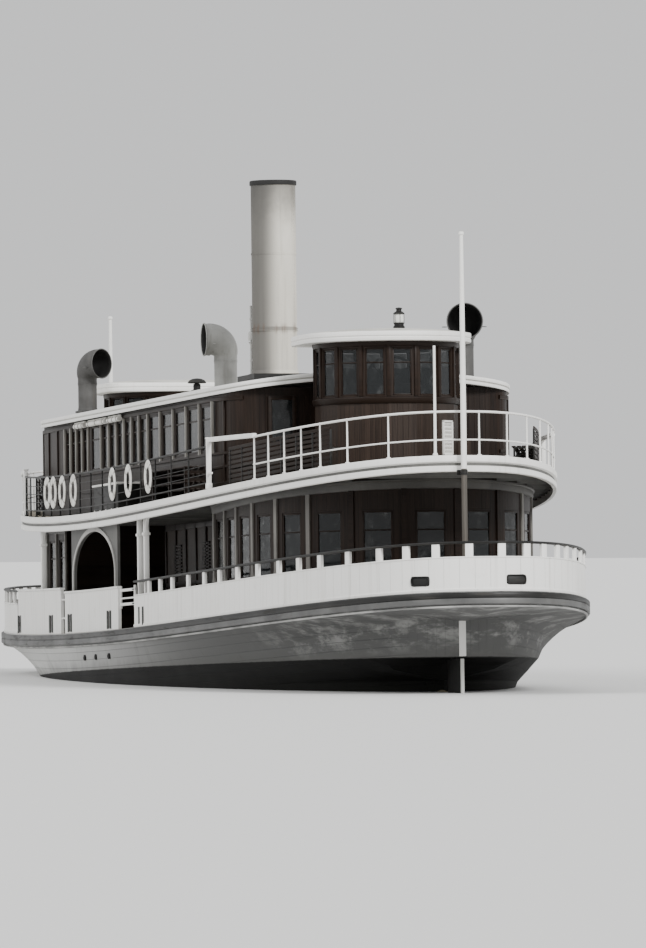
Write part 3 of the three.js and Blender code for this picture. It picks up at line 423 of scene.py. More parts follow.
class Paint(Wire):
    """A material and its slot: its object coordinates, patterns and surface shader."""

    def __init__(self, name, slot, **uniform):
        self.slot = slot
        self.material = bpy.data.materials.new(name)
        self.material.use_nodes = True
        super().__init__(self.material.node_tree)
        self.shader = self.tree.nodes["Principled BSDF"]
        for key, value in uniform.items():
            self.shader.inputs[key.replace("_", " ")].default_value = value
        self.place = self.node("ShaderNodeTexCoord", output="Object")
        self.x, self.y, self.z = (self.part(self.place, i) for i in range(3))

    def part(self, vector, index=0):
        return self.node("ShaderNodeSeparateXYZ", {}, {0: vector}, index)

    def noise(self, scale, detail=3.0, stretch=(1.0, 1.0, 1.0), rough=0.55):
        where = self.node("ShaderNodeMapping", {}, {"Vector": self.place, "Scale": stretch})
        inputs = {"Vector": where, "Scale": scale, "Detail": detail, "Roughness": rough}
        return self.node("ShaderNodeTexNoise", {}, inputs)

    def speckle(self, value):
        """A random value that is the same over one plank or board."""
        where = self.node("ShaderNodeCombineXYZ", {}, {0: value, 1: 0.0, 2: 0.0})
        return self.node("ShaderNodeTexWhiteNoise", {"noise_dimensions": "3D"}, {"Vector": where})

    def seam(self, value, width, pitch):
        """1 in a narrow line at every pitch, 0 between."""
        return ((value / pitch).wrap() - 0.5).size().ramp(0.5 - width / pitch, 0.5 - 0.3 * width / pitch)

    def surface(self, height, depth, **links):
        """Feeds the shader's varying sockets; height becomes a bump."""
        if height is not None:
            bump = self.node("ShaderNodeBump", {}, {"Height": height, "Distance": depth, "Strength": 1.0})
            self.tree.links.new(bump.socket, self.shader.inputs["Normal"])
        for key, value in links.items():
            socket = self.shader.inputs[key.replace("_", " ")]
            if isinstance(value, Wire):
                self.tree.links.new(value.socket, socket)
            else:
                socket.default_value = value
        return self


stations = mirrored(sorted(along(0.0, keel["stem"], 64, 1.5) + [14.949, 14.951]))
hull_parts = [skin([both_sides(hull_half(x), x) for x in stations])]
for side in (1, -1):
    reaches = along(keel["stem"] - 0.02, main["half"] - 0.004, 26, 2.2)
    sections = [both_sides(overhang_half(side * max(x, keel["stem"])), side * x) for x in reaches]
    hull_parts.append(skin(sections))
for side in (1, -1):
    heel, toe = (
        (side * 14.9, -keel["half"], keel["bottom"]),
        (side * keel["stem"], keel["half"], keel["sole"]),
    )
    hull_parts.append(block(heel, toe, 0.02))
    inboard, outboard = (side * 13.3, 0, shaft["height"]), (side * 14.952, 0, shaft["height"])
    hull_parts.append(rod(inboard, outboard, shaft["tube"], 28))

topsides = Paint("topside_paint", "hull_paint", Specular_IOR_Level=0.1)
boot_level = 0.29
strake_pitch = 0.17
# the seams rise towards the ends with the planking
girth = topsides.z - topsides.x * topsides.x * 0.0013
under_bow = topsides.x.size().ramp(16.0, 16.9)
side_seams, bow_seams = (topsides.seam(across, 0.008, strake_pitch) for across in (girth, topsides.y))
seams = under_bow.blend(side_seams, bow_seams * 0.6)
butts = topsides.seam(topsides.x + (girth / strake_pitch).whole() * 1.9, 0.008, 6.3) * (1.0 - under_bow)
cloud = topsides.noise(0.45, 5.0, (0.6, 0.6, 1.6))
streaks = topsides.noise(3.0, 4.0, (1.0, 1.0, 0.05)).ramp(0.53, 0.74)
scum = (topsides.z + topsides.noise(2.2, 5.0) * 0.34).ramp(0.72, 0.36)
# painted reflection: pale patches, the light thrown up by the water, lie under the leading bow
above = (topsides.z - topsides.x * topsides.x * 0.0011).ramp(-0.05, 0.45)
pale_patches = topsides.noise(1.9, 7.0, (0.8, 0.6, 1.9), 0.72).ramp(0.47, 0.66) * topsides.x.ramp(11.0, 14.5) * above
grey = cloud.ramp(0.3, 0.72).mix((0.58, 0.58, 0.565), (0.72, 0.72, 0.70)).under(
    # painted shade: the topside grey darkens from aft towards the fore end, where the side of the bow falls
    # into shade
    (topsides.x.ramp(-12.0, 10.0), 0.93, (0.066, 0.066, 0.065)),
    (pale_patches, 0.55, (0.40, 0.40, 0.385)),
    (topsides.speckle((girth / strake_pitch).whole()), 0.15, (0.10, 0.102, 0.102)),
    (streaks, 0.3, (0.10, 0.10, 0.097)),
    (scum, 0.55, (0.10, 0.10, 0.092)),
    (seams + butts, 0.35, (0.08, 0.08, 0.08)),
)
weed = (topsides.z + topsides.noise(3.1, 4.0) * 0.5).ramp(0.35, -0.45)
black = topsides.noise(1.4, 6.0).mix((0.004, 0.004, 0.004), (0.013, 0.0125, 0.012))
bottom = black.under((weed, 0.5, (0.012, 0.014, 0.009)))
boot = (topsides.z + (topsides.noise(6.0, 2.0) - 0.5) * 0.02).ramp(boot_level + 0.012, boot_level - 0.012)
topsides.surface(
    (1.0 - (seams + butts).ramp(0.0, 1.0)) + topsides.noise(40.0, 3.0) * 0.12, 0.006,
    Base_Color=boot.mix(grey, bottom), Roughness=0.5 + cloud * 0.25,
)
finish(hull_parts, "hull_planking", topsides, "hull", smooth=28.0)

# Guard: two oak belting strakes round the deck edge with a groove between them, bolted under the deck.
# The upper one is painted black and scuffed, the lower one grey as the topsides.
def directed(points, closed=False):
    """The points of a line with their directions to its right."""
    line = []
    last = len(points) - 1
    for i, (x, y) in enumerate(points):
        before = points[i - 1] if i else points[last - 1 if closed else 0]
        after = points[i + 1] if i < last else points[1 if closed else last]
        run = math.hypot(after[0] - before[0], after[1] - before[1])
        line.append((x, y, (after[1] - before[1]) / run, -(after[0] - before[0]) / run))
    return line


def oval_point(plan, inset, turn):
    c, s = math.cos(turn), math.sin(turn)
    return (
        (plan["half"] - inset) * math.copysign(abs(c) ** (2.0 / plan["round"]), c),
        (plan["beam"] - inset) * math.copysign(abs(s) ** (2.0 / plan["round"]), s),
    )


def around(plan, count=240):
    """The whole outline of a deck, starboard quarter first, as points with their outward directions."""
    return directed([oval_point(plan, 0.0, turn) for turn in spread(0.0, 2.0 * math.pi, count)], True)


def end_arc(plan, inset, start, count):
    """The outline of the fore end of a deck from starboard to port, beyond a station."""
    limit = math.acos((start / (plan["half"] - inset)) ** (plan["round"] / 2.0))
    return directed([oval_point(plan, inset, turn) for turn in spread(-limit, limit, count)])


def outward(points, side):
    return [(x, y, -side * nx, -side * ny) for x, y, nx, ny in directed(points)]


def side_run(plan, inset, start, stop, side, count=24, step=0.0):
    """A stretch of one side of a deck outline; side is -1 to starboard."""
    return outward([(x, side * (edge_at(plan, x, inset) - step)) for x in spread(start, stop, count)], side)


def swept(line, profile, top, fill=True, origin=0.0):
    """A moulding along a line: the profile gives outward offsets and heights above the deck."""
    ring = profile + profile[:1]
    rows = [
        [(x + nx * out, y + ny * out, top(x + nx * out) + rise) for out, rise in ring]
        for x, y, nx, ny in line
    ]
    return skin(rows, fill, origin)


def eased(outer, inner, low, high, ease=0.008):
    """A rectangular profile with chamfered corners."""
    return [
        (outer - ease, low), (outer, low + ease), (outer, high - ease), (outer - ease, high),
        (inner + ease, high), (inner, high - ease), (inner, low + ease), (inner + ease, low),
    ]


guard_profile = [
    (0.0, -0.252), (0.055, -0.252), (0.066, -0.24), (0.066, -0.152), (0.062, -0.142), (0.048, -0.138),
    (0.048, -0.128), (0.06, -0.124), (0.066, -0.114), (0.066, -0.034), (0.055, -0.02), (0.0, -0.018),
]


def dark_finish(name, low_grey=False):
    """Black oil paint, dusty on top and rubbed to the wood."""
    tar = Paint(name, "dark_paint", Specular_IOR_Level=0.25)
    rubbed = tar.noise(5.0, 5.0, (0.35, 0.35, 2.2)).ramp(0.52, 0.76)
    chalk = tar.noise(0.7, 4.0).ramp(0.35, 0.75)
    colour = (chalk * 0.8).mix((0.008, 0.008, 0.0075), (0.026, 0.025, 0.024))
    if low_grey:
        deck_edge = tar.z - tar.x * tar.x * main["sheer"] / main["half"] ** 2
        grey = chalk.mix((0.06, 0.06, 0.059), (0.13, 0.13, 0.127))
        # painted light: towards the aft end the black upper strake is turned grey as well, for its sunlit
        # look there
        second_tone = tar.x.ramp(6.0, -8.0) * 0.8
        colour = (second_tone + (deck_edge < main["height"] - 0.133) * (1.0 - second_tone)).mix(colour, grey)
    return tar.surface(
        tar.noise(28.0, 3.0, (0.2, 0.2, 1.0)), 0.003,
        Base_Color=colour.under((rubbed, 0.2, (0.12, 0.11, 0.095))), Roughness=0.45 + rubbed * 0.3,
    )


belting_paint = dark_finish("belting_paint", True)
dark_paint = dark_finish("dark_paint")
guard = swept(around(main), guard_profile, main_top, False)
finish(guard, "guard_belting", belting_paint, "guard_strake", smooth=40.0)

# White line: a painted half-round batten just below the guard, nailed to the sheer strake.
# It has gone grey in patches.
batten_profile = [
    (0.0, -0.312), (0.014, -0.308), (0.022, -0.296), (0.022, -0.284), (0.014, -0.272), (-0.012, -0.268),
    (-0.012, -0.312),
]


def white_finish(name, grime=0.35, run_scale=0.05, board=0.0):
    """Chalky white lead paint: faint brush marks, grime that runs down, and patches of wear gone grey-brown.
    """
    white = Paint(name, "white_paint")
    cloud = white.noise(0.9, 4.0)
    runs = white.noise(7.0, 4.0, (1.0, 1.0, run_scale)).ramp(0.52, 0.8)
    second_tone = white.noise(3.0, 6.0).ramp(0.60, 0.78)
    colour = cloud.mix((0.72, 0.71, 0.68), (0.83, 0.825, 0.80)).under(
        (runs, grime, (0.40, 0.38, 0.34)), (second_tone * grime, 0.6, (0.36, 0.33, 0.28))
    )
    height = white.noise(55.0, 3.0, (1.0, 1.0, 0.15)) * 0.2
    if board:
        joint = white.seam(white.part(white.node("ShaderNodeUVMap")), 0.006, board)
        colour = colour.under((joint, 0.45, (0.22, 0.21, 0.19)))
        height = height - joint
    return white.surface(height, 0.003, Base_Color=colour, Roughness=0.42 + cloud * 0.2)


def grey_finish(name, slot, low, high):
    """Flat paint on joinery, chalked in patches and scuffed."""
    grey = Paint(name, slot)
    cloud = grey.noise(1.1, 5.0)
    scuff = grey.noise(9.0, 4.0, (1.0, 1.0, 0.2)).ramp(0.56, 0.8)
    return grey.surface(
        grey.noise(50.0, 2.0, (1.0, 1.0, 0.2)), 0.002, Roughness=0.5 + cloud * 0.2,
        Base_Color=cloud.ramp(0.3, 0.7).mix(low, high).under((scuff, 0.4, tuple(0.6 * c for c in low))),
    )


white_paint = white_finish("white_paint")
batten_paint = grey_finish("batten_paint", "white_paint", (0.16, 0.16, 0.155), (0.42, 0.415, 0.40))
finish(swept(around(main), batten_profile, main_top, False), "sheer_batten", batten_paint)

# Main deck: narrow pine planks laid fore and aft on the hull, payed with pitch and scrubbed grey.
# The planks are one closed sheet from end to end.
def deck_sheet(deck, top, inset, thick, lift):
    """A closed sheet over a deck, from one end of its outline to the other."""
    rows = []
    for x in mirrored(along(0.0, deck["half"] - inset - 0.003, 70, 2.2)):
        edge, z = edge_at(deck, x, inset), top(x) + lift
        across = [-1.0, -0.66, -0.33, 0.0, 0.33, 0.66, 1.0]
        rows.append([(x, edge * a, z) for a in across] + [(x, edge * a, z - thick) for a in reversed(across)]
                    + [(x, -edge, z)])
    return skin(rows)


def plank_finish(name, pitch, light, dark):
    """Fore-and-aft planks with pitch seams, butts and a grain that runs along them."""
    deal = Paint(name, "varnish")
    shift = deal.speckle((deal.y / pitch).whole())
    joints = deal.seam(deal.y + pitch * 0.5, 0.007, pitch) + deal.seam(deal.x + shift * 5.0, 0.008, 5.2)
    grain = deal.noise(9.0, 6.0, (0.06, 1.6, 1.0))
    trodden = deal.noise(0.8, 4.0).ramp(0.5, 0.75)
    colour = grain.mix(dark, light).under((shift, 0.35, dark), (trodden, 0.45, tuple(0.55 * c for c in dark)))
    return deal.surface(
        grain * 0.25 - joints, 0.003, Base_Color=joints.ramp(0.0, 1.0).mix(colour, (0.02, 0.018, 0.015)),
        Roughness=0.7 + grain * 0.15,
    )


deck_planks = plank_finish("deck_planks", 0.115, (0.42, 0.37, 0.29), (0.25, 0.215, 0.165))
finish(deck_sheet(main, main_top, 0.012, 0.02, 0.003), "main_deck_planks", deck_planks)

# End bulwarks: white painted plating on stub posts, with two fairleads in each, under a dark cap rail.
# The posts show through the slot that is left open under the rail.
plating = {"inset": 0.02, "thick": 0.07, "middle": 0.035, "rise": 0.66, "slot_top": 0.93, "fairlead": 0.23}
# distances from the stem along the plating
far_posts = (3.57, 4.66, 5.6, 6.57, 7.71, 8.9, 10.05, 11.09, 12.28, 13.53, 14.54, 15.51)
stub_posts = {
    "starboard": (0.46, 1.14, 1.82, 2.55, *far_posts),
    "port": (0.2, 0.75, 1.2, 1.7, 2.17, 2.79, *far_posts),
}
fairleads = {"starboard": (1.48,), "port": (0.5,)}


def circle(count):
    """Cosine and sine of evenly spaced turns; the first is there again at the end."""
    return [(math.cos(turn), math.sin(turn)) for turn in spread(0.0, 2.0 * math.pi, count)]


def reach_of(line):
    return sum(math.dist(a[:2], b[:2]) for a, b in zip(line, line[1:]))


def at_distance(line, distance):
    """The place and heading at a distance along a line."""
    for a, b in zip(line, line[1:]):
        length = math.dist(a[:2], b[:2])
        if distance <= length or b is line[-1]:
            share = distance / length
            heading = math.atan2(b[1] - a[1], b[0] - a[0])
            return a[0] + (b[0] - a[0]) * share, a[1] + (b[1] - a[1]) * share, heading
        distance -= length


def from_stem(line, distances):
    """Places at distances from the middle of an end outline, to starboard and to port."""
    middle = reach_of(line) / 2.0
    signed = [side * d for side, name in ship_sides for d in distances[name] if d < middle - 0.08]
    return [at_distance(line, middle + d) for d in signed]


def set_in(spot, depth, z):
    """A place on a line, set back from it by a depth."""
    x, y, heading = spot
    return set_at(x - math.sin(heading) * depth, y + math.cos(heading) * depth, z, heading)


def oval_lip(half, rise, corner, deep, wide):
    """A cast ring round an opening with rounded corners, standing in the XZ plane."""
    rows = []
    for c, s in circle(40):
        x = math.copysign(half - corner, c) + corner * c if abs(c) > 0.001 else 0.0
        z = math.copysign(rise - corner, s) + corner * s if abs(s) > 0.001 else 0.0
        rows.append([(x + wide * out * c, deep * off, z + wide * out * s) for out, off in circle(12)])
    return skin(rows, False)


bulwark_paint = white_finish("bulwark_paint", 0.4, 0.05, 0.31)
for end, start in (("fore", 4.14), ("aft", 10.0)):
    line, turn = end_arc(main, plating["inset"], start, 200), end_turns[end]
    wall = swept(line, eased(0.0, -plating["thick"], 0.0005, plating["rise"], 0.006), main_top)
    leads = [
        set_in(spot, plating["middle"], main_top(spot[0]) + plating["fairlead"])
        for spot in from_stem(line, fairleads)
    ]
    for lead in leads:
        cut(wall, moved(block((-0.215, -0.3, -0.1), (0.215, 0.3, 0.1), 0.045, 4), lead))
    cover = block((-0.205, -0.02, -0.09), (0.205, 0.012, 0.09), 0.004)
    rings = copies(oval_lip(0.2, 0.088, 0.07, 0.05, 0.02), leads) + copies(cover, leads)
    posts = []
    for spot in from_stem(line, stub_posts):
        low = min(main_top(spot[0] - 0.11), main_top(spot[0] + 0.11)) + 0.3
        height = main_top(spot[0]) + plating["slot_top"] + 0.014 - low
        posts.append(set_in(spot, plating["middle"], low) @ Matrix.Diagonal((1.0, 1.0, height, 1.0)))
    stubs = copies(block((-0.078, -0.032, 0.0), (0.078, 0.032, 1.0), 0.007), posts)
    cap_profile = eased(0.02, -0.09, plating["slot_top"] + 0.012, plating["slot_top"] + 0.058, 0.016)
    waist_profile = [(0.0, 0.0), (0.016, 0.004), (0.02, 0.05), (0.008, 0.066), (-0.01, 0.066), (-0.01, 0.0)]
    shelf_profile = eased(0.012, -0.082, plating["rise"] - 0.002, plating["rise"] + 0.03, 0.01)
    mouldings = [swept(line, profile, main_top) for profile in (waist_profile, shelf_profile)]
    finish(wall, f"bulwark_plating_{end}", bulwark_paint, f"bulwark_{end}", place=turn)
    finish(stubs, f"bulwark_posts_{end}", white_paint, place=turn)
    cap = swept(line, cap_profile, main_top)
    finish(cap, f"bulwark_cap_{end}", dark_paint, f"bulwark_rail_{end}", smooth=40.0, place=turn)
    finish(mouldings, f"bulwark_mouldings_{end}", white_paint, place=turn)
    finish(rings, f"fairleads_{end}", dark_paint, smooth=50.0, place=turn)

# Side panels: white boarded bulwark amidships in two lengths with a barred gap between them.
# Tall freeing slots are cut in it, each between two dark plates that are painted shade for the slot's recess,
# and a capping runs along the top.
gap = {"from": -3.65, "to": -3.18}
panel_lengths = (
    # from, to, height
    (-9.85, gap["from"], 0.99),
    (gap["to"], 2.57, 0.9),
)
freeing_ports = (-9.55, -4.85, -2.6, 1.65)
# painted shade: dark plates beside every slot, and beside the opening at 4.77, stand for the shade in the
# openings
shade_plate_spans = (
    {x: ((-0.22, -0.07), (0.07, 0.22)) for x in freeing_ports}
    | {4.77: ((-0.24, -0.134), (0.134, 0.24))}
)
panel_paint = white_finish("panel_paint", 0.45, 0.06, 0.2)
for side, name in ship_sides:
    lengths = []
    for start, stop, rise in panel_lengths:
        run = side_run(main, plating["inset"], start, stop, side, 28)
        board = swept(run, eased(0.0, -plating["thick"], 0.0005, rise, 0.006), main_top)
        for x in freeing_ports:
            if start < x < stop:
                y, z = side * edge_at(main, x), main_top(x)
                cut(board, block((x - 0.09, y - 0.3, z + 0.04), (x + 0.09, y + 0.3, z + 0.4), 0.02))
        cap = side_run(main, plating["inset"], start - 0.01, stop + 0.01, side, 28)
        lengths += [board, swept(cap, eased(0.022, -0.092, rise - 0.03, rise + 0.018, 0.012), main_top)]
    y = side * (edge_at(main, gap["from"]) - 0.055)
    for rise in (0.335, 0.74):
        z = main_top(gap["from"]) + rise
        lengths.append(rod((gap["from"] - 0.03, y, z), (gap["to"] + 0.03, y, z), 0.02))
    finish(lengths, f"side_bulwark_{name}", panel_paint, f"side_panel_{name}")
    shade_plates = []
    for x, spans in shade_plate_spans.items():
        y, z = side * (edge_at(main, x, plating["inset"]) + 0.002), main_top(x)
        shade_plates += [block((x + a, y, z + 0.03), (x + b, y + side * 0.014, z + 0.42), 0.004) for a, b in spans]
    finish(shade_plates, f"slot_shade_plates_{name}", dark_paint)

# Gangway gates: two square bars between stiles, hung on the fore bulwark.
# They have strap hinges and a drop latch between the bars.
for side, name in ship_sides:
    body = f"gangway_gate_{name}"
    low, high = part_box(body)
    y, foot = (low.y + high.y) / 2, main_top(4.11)
    bars = [
        # from x, to x, half thickness, low, high, bevel
        (low.x, high.x, 0.02, 0.48, 0.54, 0.01),
        (low.x, high.x, 0.02, 0.78, 0.84, 0.01),
        (low.x, low.x + 0.05, 0.025, 0.42, 0.9, 0.012),
        (high.x - 0.05, high.x, 0.025, 0.42, 0.9, 0.012),
        (low.x + 0.05, high.x - 0.05, 0.012, 0.62, 0.655, 0.006),
    ]
    straps = [(high.x - 0.24, high.x - 0.01, 0.028, z, z + 0.03, 0.004) for z in (0.495, 0.795)]
    frame_bars, strap_bars = (
        [
            block((near, y - half, foot + z0), (far, y + half, foot + z1), bevel)
            for near, far, half, z0, z1, bevel in table
        ]
        for table in (bars, straps)
    )
    finish(frame_bars, f"gate_{name}", white_paint, body, body)
    finish(strap_bars, f"gate_straps_{name}", dark_paint, None, body)

# Side posts: square white posts with knees, under a long beam that carries the edge of the upper deck.
# Amidships a boarded arch closes the side, with a moulded frame round its opening.
side_beam = {"inset": 0.218, "half": 0.055, "from": -9.96, "to": 7.3, "top": -0.124, "foot": -0.254}
side_posts = (
    # x, ways in which a knee stands out
    (-7.23, (-1, 1)),
    (4.08, (-1,)),
    (4.62, (1,)),
)
arch = {"middle": -0.3, "half": 2.2, "frame": 0.26, "spring": 2.35, "rise": 0.92, "thick": 0.03, "bead": 0.09}


def beam_side(x, side):
    return side * (edge_at(upper, x) - side_beam["inset"])


def board_between(pairs, near, far):
    """A flat board in the XZ plane between two curves; a pair is a point of each."""
    return skin([
        [(xi, near, zi), (xo, near, zo), (xo, far, zo), (xi, far, zi), (xi, near, zi)]
        for (xi, zi), (xo, zo) in pairs
    ])


def knee(place):
    """A curved bracket with its corner at the origin, out along +X and down."""
    pairs = []
    for i, turn in enumerate(spread(0.0, math.pi / 2, 16)):
        x, z = 0.42 * (1.0 - math.sin(turn)), -0.34 * (1.0 - math.cos(turn))
        pairs.append(((x, z), (x if i < 8 else 0.0, z if i > 8 else 0.0)))
    return moved(board_between(pairs, -0.024, 0.024), place)


def arch_curve(turns, reaches, foot):
    """Points over the arch from foot to foot, with a reach along and a reach up for each turn."""
    points = [
        (arch["middle"] + across * math.cos(turn), arch["spring"] + up * math.sin(turn))
        for turn, (across, up) in zip(turns, reaches)
    ]
    return [(points[0][0], foot), *points, (points[-1][0], foot)]


def arch_boards(side):
    """The board of one side and the bead round its opening."""
    outer, y = arch["half"] + arch["frame"], beam_side(0.0, side)
    climb = upper_top(outer) + side_beam["foot"] + 0.02 - arch["spring"]
    corner = math.atan2(climb, outer)
    foot = main_top(arch["middle"] - outer) + 0.001
    turns = sorted([*spread(0.0, math.pi, 40), corner, math.pi - corner], reverse=True)
    far = [min(outer / max(abs(math.cos(a)), 0.001), climb / max(math.sin(a), 0.001)) for a in turns]
    inner, rim = (
        arch_curve(turns, [(arch["half"] + wide, arch["rise"] + wide)] * len(turns), foot)
        for wide in (0.0, arch["bead"])
    )
    edge = arch_curve(turns, [(reach, reach) for reach in far], foot)
    face = y + side * arch["thick"]
    near, out = sorted((face - side * 0.002, face + side * 0.024))
    return (
        board_between(zip(inner, edge), y - arch["thick"], y + arch["thick"]),
        board_between(zip(inner, rim), near, out),
    )


# painted shade: the white-painted arch board is coloured near black and its bead mid grey, for the shade
# under the upper deck
arch_shade_paint = grey_finish("arch_shade_paint", "white_paint", (0.05, 0.049, 0.046), (0.1, 0.098, 0.092))
arch_bead_shade_paint = grey_finish("arch_bead_shade_paint", "white_paint", (0.27, 0.265, 0.25), (0.45, 0.44, 0.42))
half = side_beam["half"]
for side, name in ship_sides:
    line = side_run(upper, 0.0, side_beam["from"], side_beam["to"], side, 40, side_beam["inset"])
    timbers = [swept(line, eased(half, -half, side_beam["foot"], side_beam["top"], 0.012), upper_top)]
    for x, ways in side_posts:
        y, foot, head = beam_side(x, side), main_top(x) + 0.002, upper_top(x) + side_beam["foot"] + 0.02
        timbers.append(post(x, y, half, foot, head))
        timbers.append(post(x, y, 0.085, foot, foot + 0.16, 0.015))
        timbers.append(post(x, y, 0.078, head - 0.42, head - 0.36))
        for way in ways:
            timbers.append(knee(set_at(
                x + way * (half - 0.004), y, head - 0.015, 0.0 if way > 0 else math.pi,
            )))
    finish(timbers, f"side_frame_{name}", white_paint, f"side_posts_{name}", smooth=35.0)
    board, bead = arch_boards(side)
    finish(board, f"arch_{name}", arch_shade_paint, f"arch_board_{name}", smooth=40.0)
    finish(bead, f"arch_bead_{name}", arch_bead_shade_paint, smooth=40.0)

# Lower cabins: varnished vertical boarding round each nose, with a window between every pair of pilasters.
# The pilasters along the sides are painted grey and flare out at their feet; those round the nose take the
# dark varnish finish as painted shade; a cornice runs under the deck.
cabin = {
    "end": 7.7, "turn": 9.5, "nose": 14.4, "beam": 3.02, "round": 2.2, "wall": 0.07,
    "sill": 2.0, "head": 3.29,
}
cabin_window = {"first": 0.56, "count": 15, "half": 0.32, "height": cabin["head"] - cabin["sill"]}
cabin_door = {"half": 0.38, "sill": 0.12, "height": 1.85}
grey_sides = 6.4
teak_deep, teak_light = (0.006, 0.0036, 0.0026), (0.018, 0.0108, 0.0075)


def level(x):
    return 0.0


def under_deck(x):
    return upper_top(x) - 0.124


def timber_finish(name, across_of, pitch, deep=teak_deep, light=teak_light):
    """Varnished teak boards: across_of gives the way across the boards from the paint's own coordinates."""
    teak = Paint(name, "varnish", Coat_Weight=0.02, Coat_Roughness=0.3, Specular_IOR_Level=0.14)
    across = across_of(teak)
    shade = teak.speckle((across / pitch).whole())
    fibre = teak.node(
        "ShaderNodeCombineXYZ", {}, {0: across * 38.0 + shade * 90.0, 1: teak.z * 1.1, 2: shade}
    )
    grain = teak.node(
        "ShaderNodeTexNoise", {}, {"Vector": fibre, "Scale": 1.0, "Detail": 6.0, "Roughness": 0.6}
    )
    weather = teak.noise(0.8, 4.0, (1.0, 1.0, 0.5))
    joint = teak.seam(across, 0.005, pitch)
    colour = grain.ramp(0.3, 0.72).mix(deep, light).under(
        (shade, 0.4, tuple(1.35 * c for c in light)),
        (weather.ramp(0.55, 0.8), 0.35, (0.036, 0.029, 0.023)),
        (joint, 0.85, (0.008, 0.005, 0.004)),
    )
    return teak.surface(grain * 0.15 - joint, 0.004, Base_Color=colour, Roughness=0.34 + weather * 0.22)


def cabin_line():
    """Outline of the fore lower cabin from its starboard corner round the nose to its port corner."""
    points = [(x, -cabin["beam"]) for x in spread(cabin["end"], cabin["turn"], 6)[:-1]]
    for turn in spread(-math.pi / 2, math.pi / 2, 72):
        c, s = math.cos(turn), math.sin(turn)
        x = cabin["turn"] + (cabin["nose"] - cabin["turn"]) * max(c, 0.0) ** (2.0 / cabin["round"])
        points.append((x, cabin["beam"] * math.copysign(abs(s) ** (2.0 / cabin["round"]), s)))
    return directed(points + [(x, -y) for x, y in reversed(points[:6])])


def cut_line(line, start, stop, count=4):
    """The part of a line between two distances, as a line of its own."""
    return directed([at_distance(line, distance)[:2] for distance in spread(start, stop, count)])


def wall_band(low, high):
    """A band of the nose wall; its heights are functions of the station."""
    rows = []
    for x, y, nx, ny in nose_line:
        inner = (x - nx * cabin["wall"], y - ny * cabin["wall"])
        rows.append([(x, y, low(x)), (x, y, high(x)), (*inner, high(x)), (*inner, low(x)), (x, y, low(x))])
    return skin(rows)


def flared_pilaster(half, proud, height, flare, rise):
    """A flat strip that widens at its foot, centred on the origin and standing out along -Y."""
    pairs = []
    for share in spread(0.0, 1.0, 12):
        wide = half + flare * (1.0 - math.sin(math.pi / 2 * share))
        pairs.append(((-wide, rise * share), (wide, rise * share)))
    return board_between(pairs + [((-half, height), (half, height))], -proud, 0.012)


def window_frame(half, height, bar=0.045, deep=0.025):
    """A sash with a transom, standing in an opening about the origin."""
    return join([block((x0, -y, z0), (x1, y, z1)) for x0, x1, y, z0, z1 in (
        (-half, bar - half, deep, 0.0, height),
        (half - bar, half, deep, 0.0, height),
        (-half, half, deep, 0.0, bar),
        (-half, half, deep, height - bar, height),
        (-half, half, deep - 0.008, height * 0.68, height * 0.68 + bar * 0.7),
    )])


def glass_pane(half, height, lap=0.02):
    return block((lap - half, -0.003, lap), (half - lap, 0.003, height - lap), 0.0)


cabin_boards = timber_finish("cabin_boards", lambda teak: teak.part(teak.node("ShaderNodeUVMap")), 0.105)
trim_timber = timber_finish("trim_timber", lambda teak: teak.z, 0.9, light=(0.017, 0.0095, 0.006))
joinery_grey = grey_finish("joinery_grey", "varnish", (0.17, 0.16, 0.145), (0.27, 0.26, 0.235))
pilaster_grey = grey_finish("pilaster_grey", "varnish", (0.11, 0.104, 0.095), (0.18, 0.172, 0.156))
cornice_grey = grey_finish("cornice_grey", "varnish", (0.05, 0.048, 0.045), (0.09, 0.087, 0.08))
pane = Paint("window_glass", "varnish")
# dried brine leaves pale, rougher, hazier patches on the glass
pale_patches = pane.noise(6.0, 5.0).ramp(0.5, 0.8)
window_glass = pane.surface(
    pane.noise(1.6, 2.0), 0.006, Base_Color=(pale_patches * 0.5).mix((0.012, 0.014, 0.015), (0.10, 0.105, 0.105)),
    Roughness=0.06 + pale_patches * 0.25, Alpha=0.62 + pale_patches * 0.2,
)

nose_line = cabin_line()
nose_reach = reach_of(nose_line)
centres = spread(cabin_window["first"], nose_reach - cabin_window["first"], cabin_window["count"] - 1)
edges = [0.0] + [c + s * cabin_window["half"] for c in centres for s in (-1, 1)] + [nose_reach]
walls = [
    wall_band(lambda x: main_top(x) + 0.001, lambda x: cabin["sill"]),
    wall_band(lambda x: cabin["head"], under_deck),
]
wall, sill, head = cabin["wall"], cabin["sill"], cabin["head"]
pier = [(0.0, sill), (0.0, head), (-wall, head), (-wall, sill)]
for start, stop in zip(edges[::2], edges[1::2]):
    walls.append(swept(cut_line(nose_line, start, stop), pier, level, True, start))
beam, jamb, top = cabin["beam"] - cabin["wall"] / 2, cabin_door["half"], under_deck(cabin["end"])
foot = main_top(cabin["end"] + cabin["wall"]) + 0.002
door_low = main_top(cabin["end"]) + cabin_door["sill"]
for left, right, low, high in (
    (-beam, -jamb, foot, top), (jamb, beam, foot, top),
    (-jamb, jamb, foot, door_low), (-jamb, jamb, door_low + cabin_door["height"], top),
):
    walls.append(block((cabin["end"], left, low), (cabin["end"] + cabin["wall"], right, high), 0.0))
openings = [set_in(at_distance(nose_line, centre), 0.04, cabin["sill"]) for centre in centres]
strip_places = {True: [], False: []}
strip_height = cabin_window["height"] + 0.06
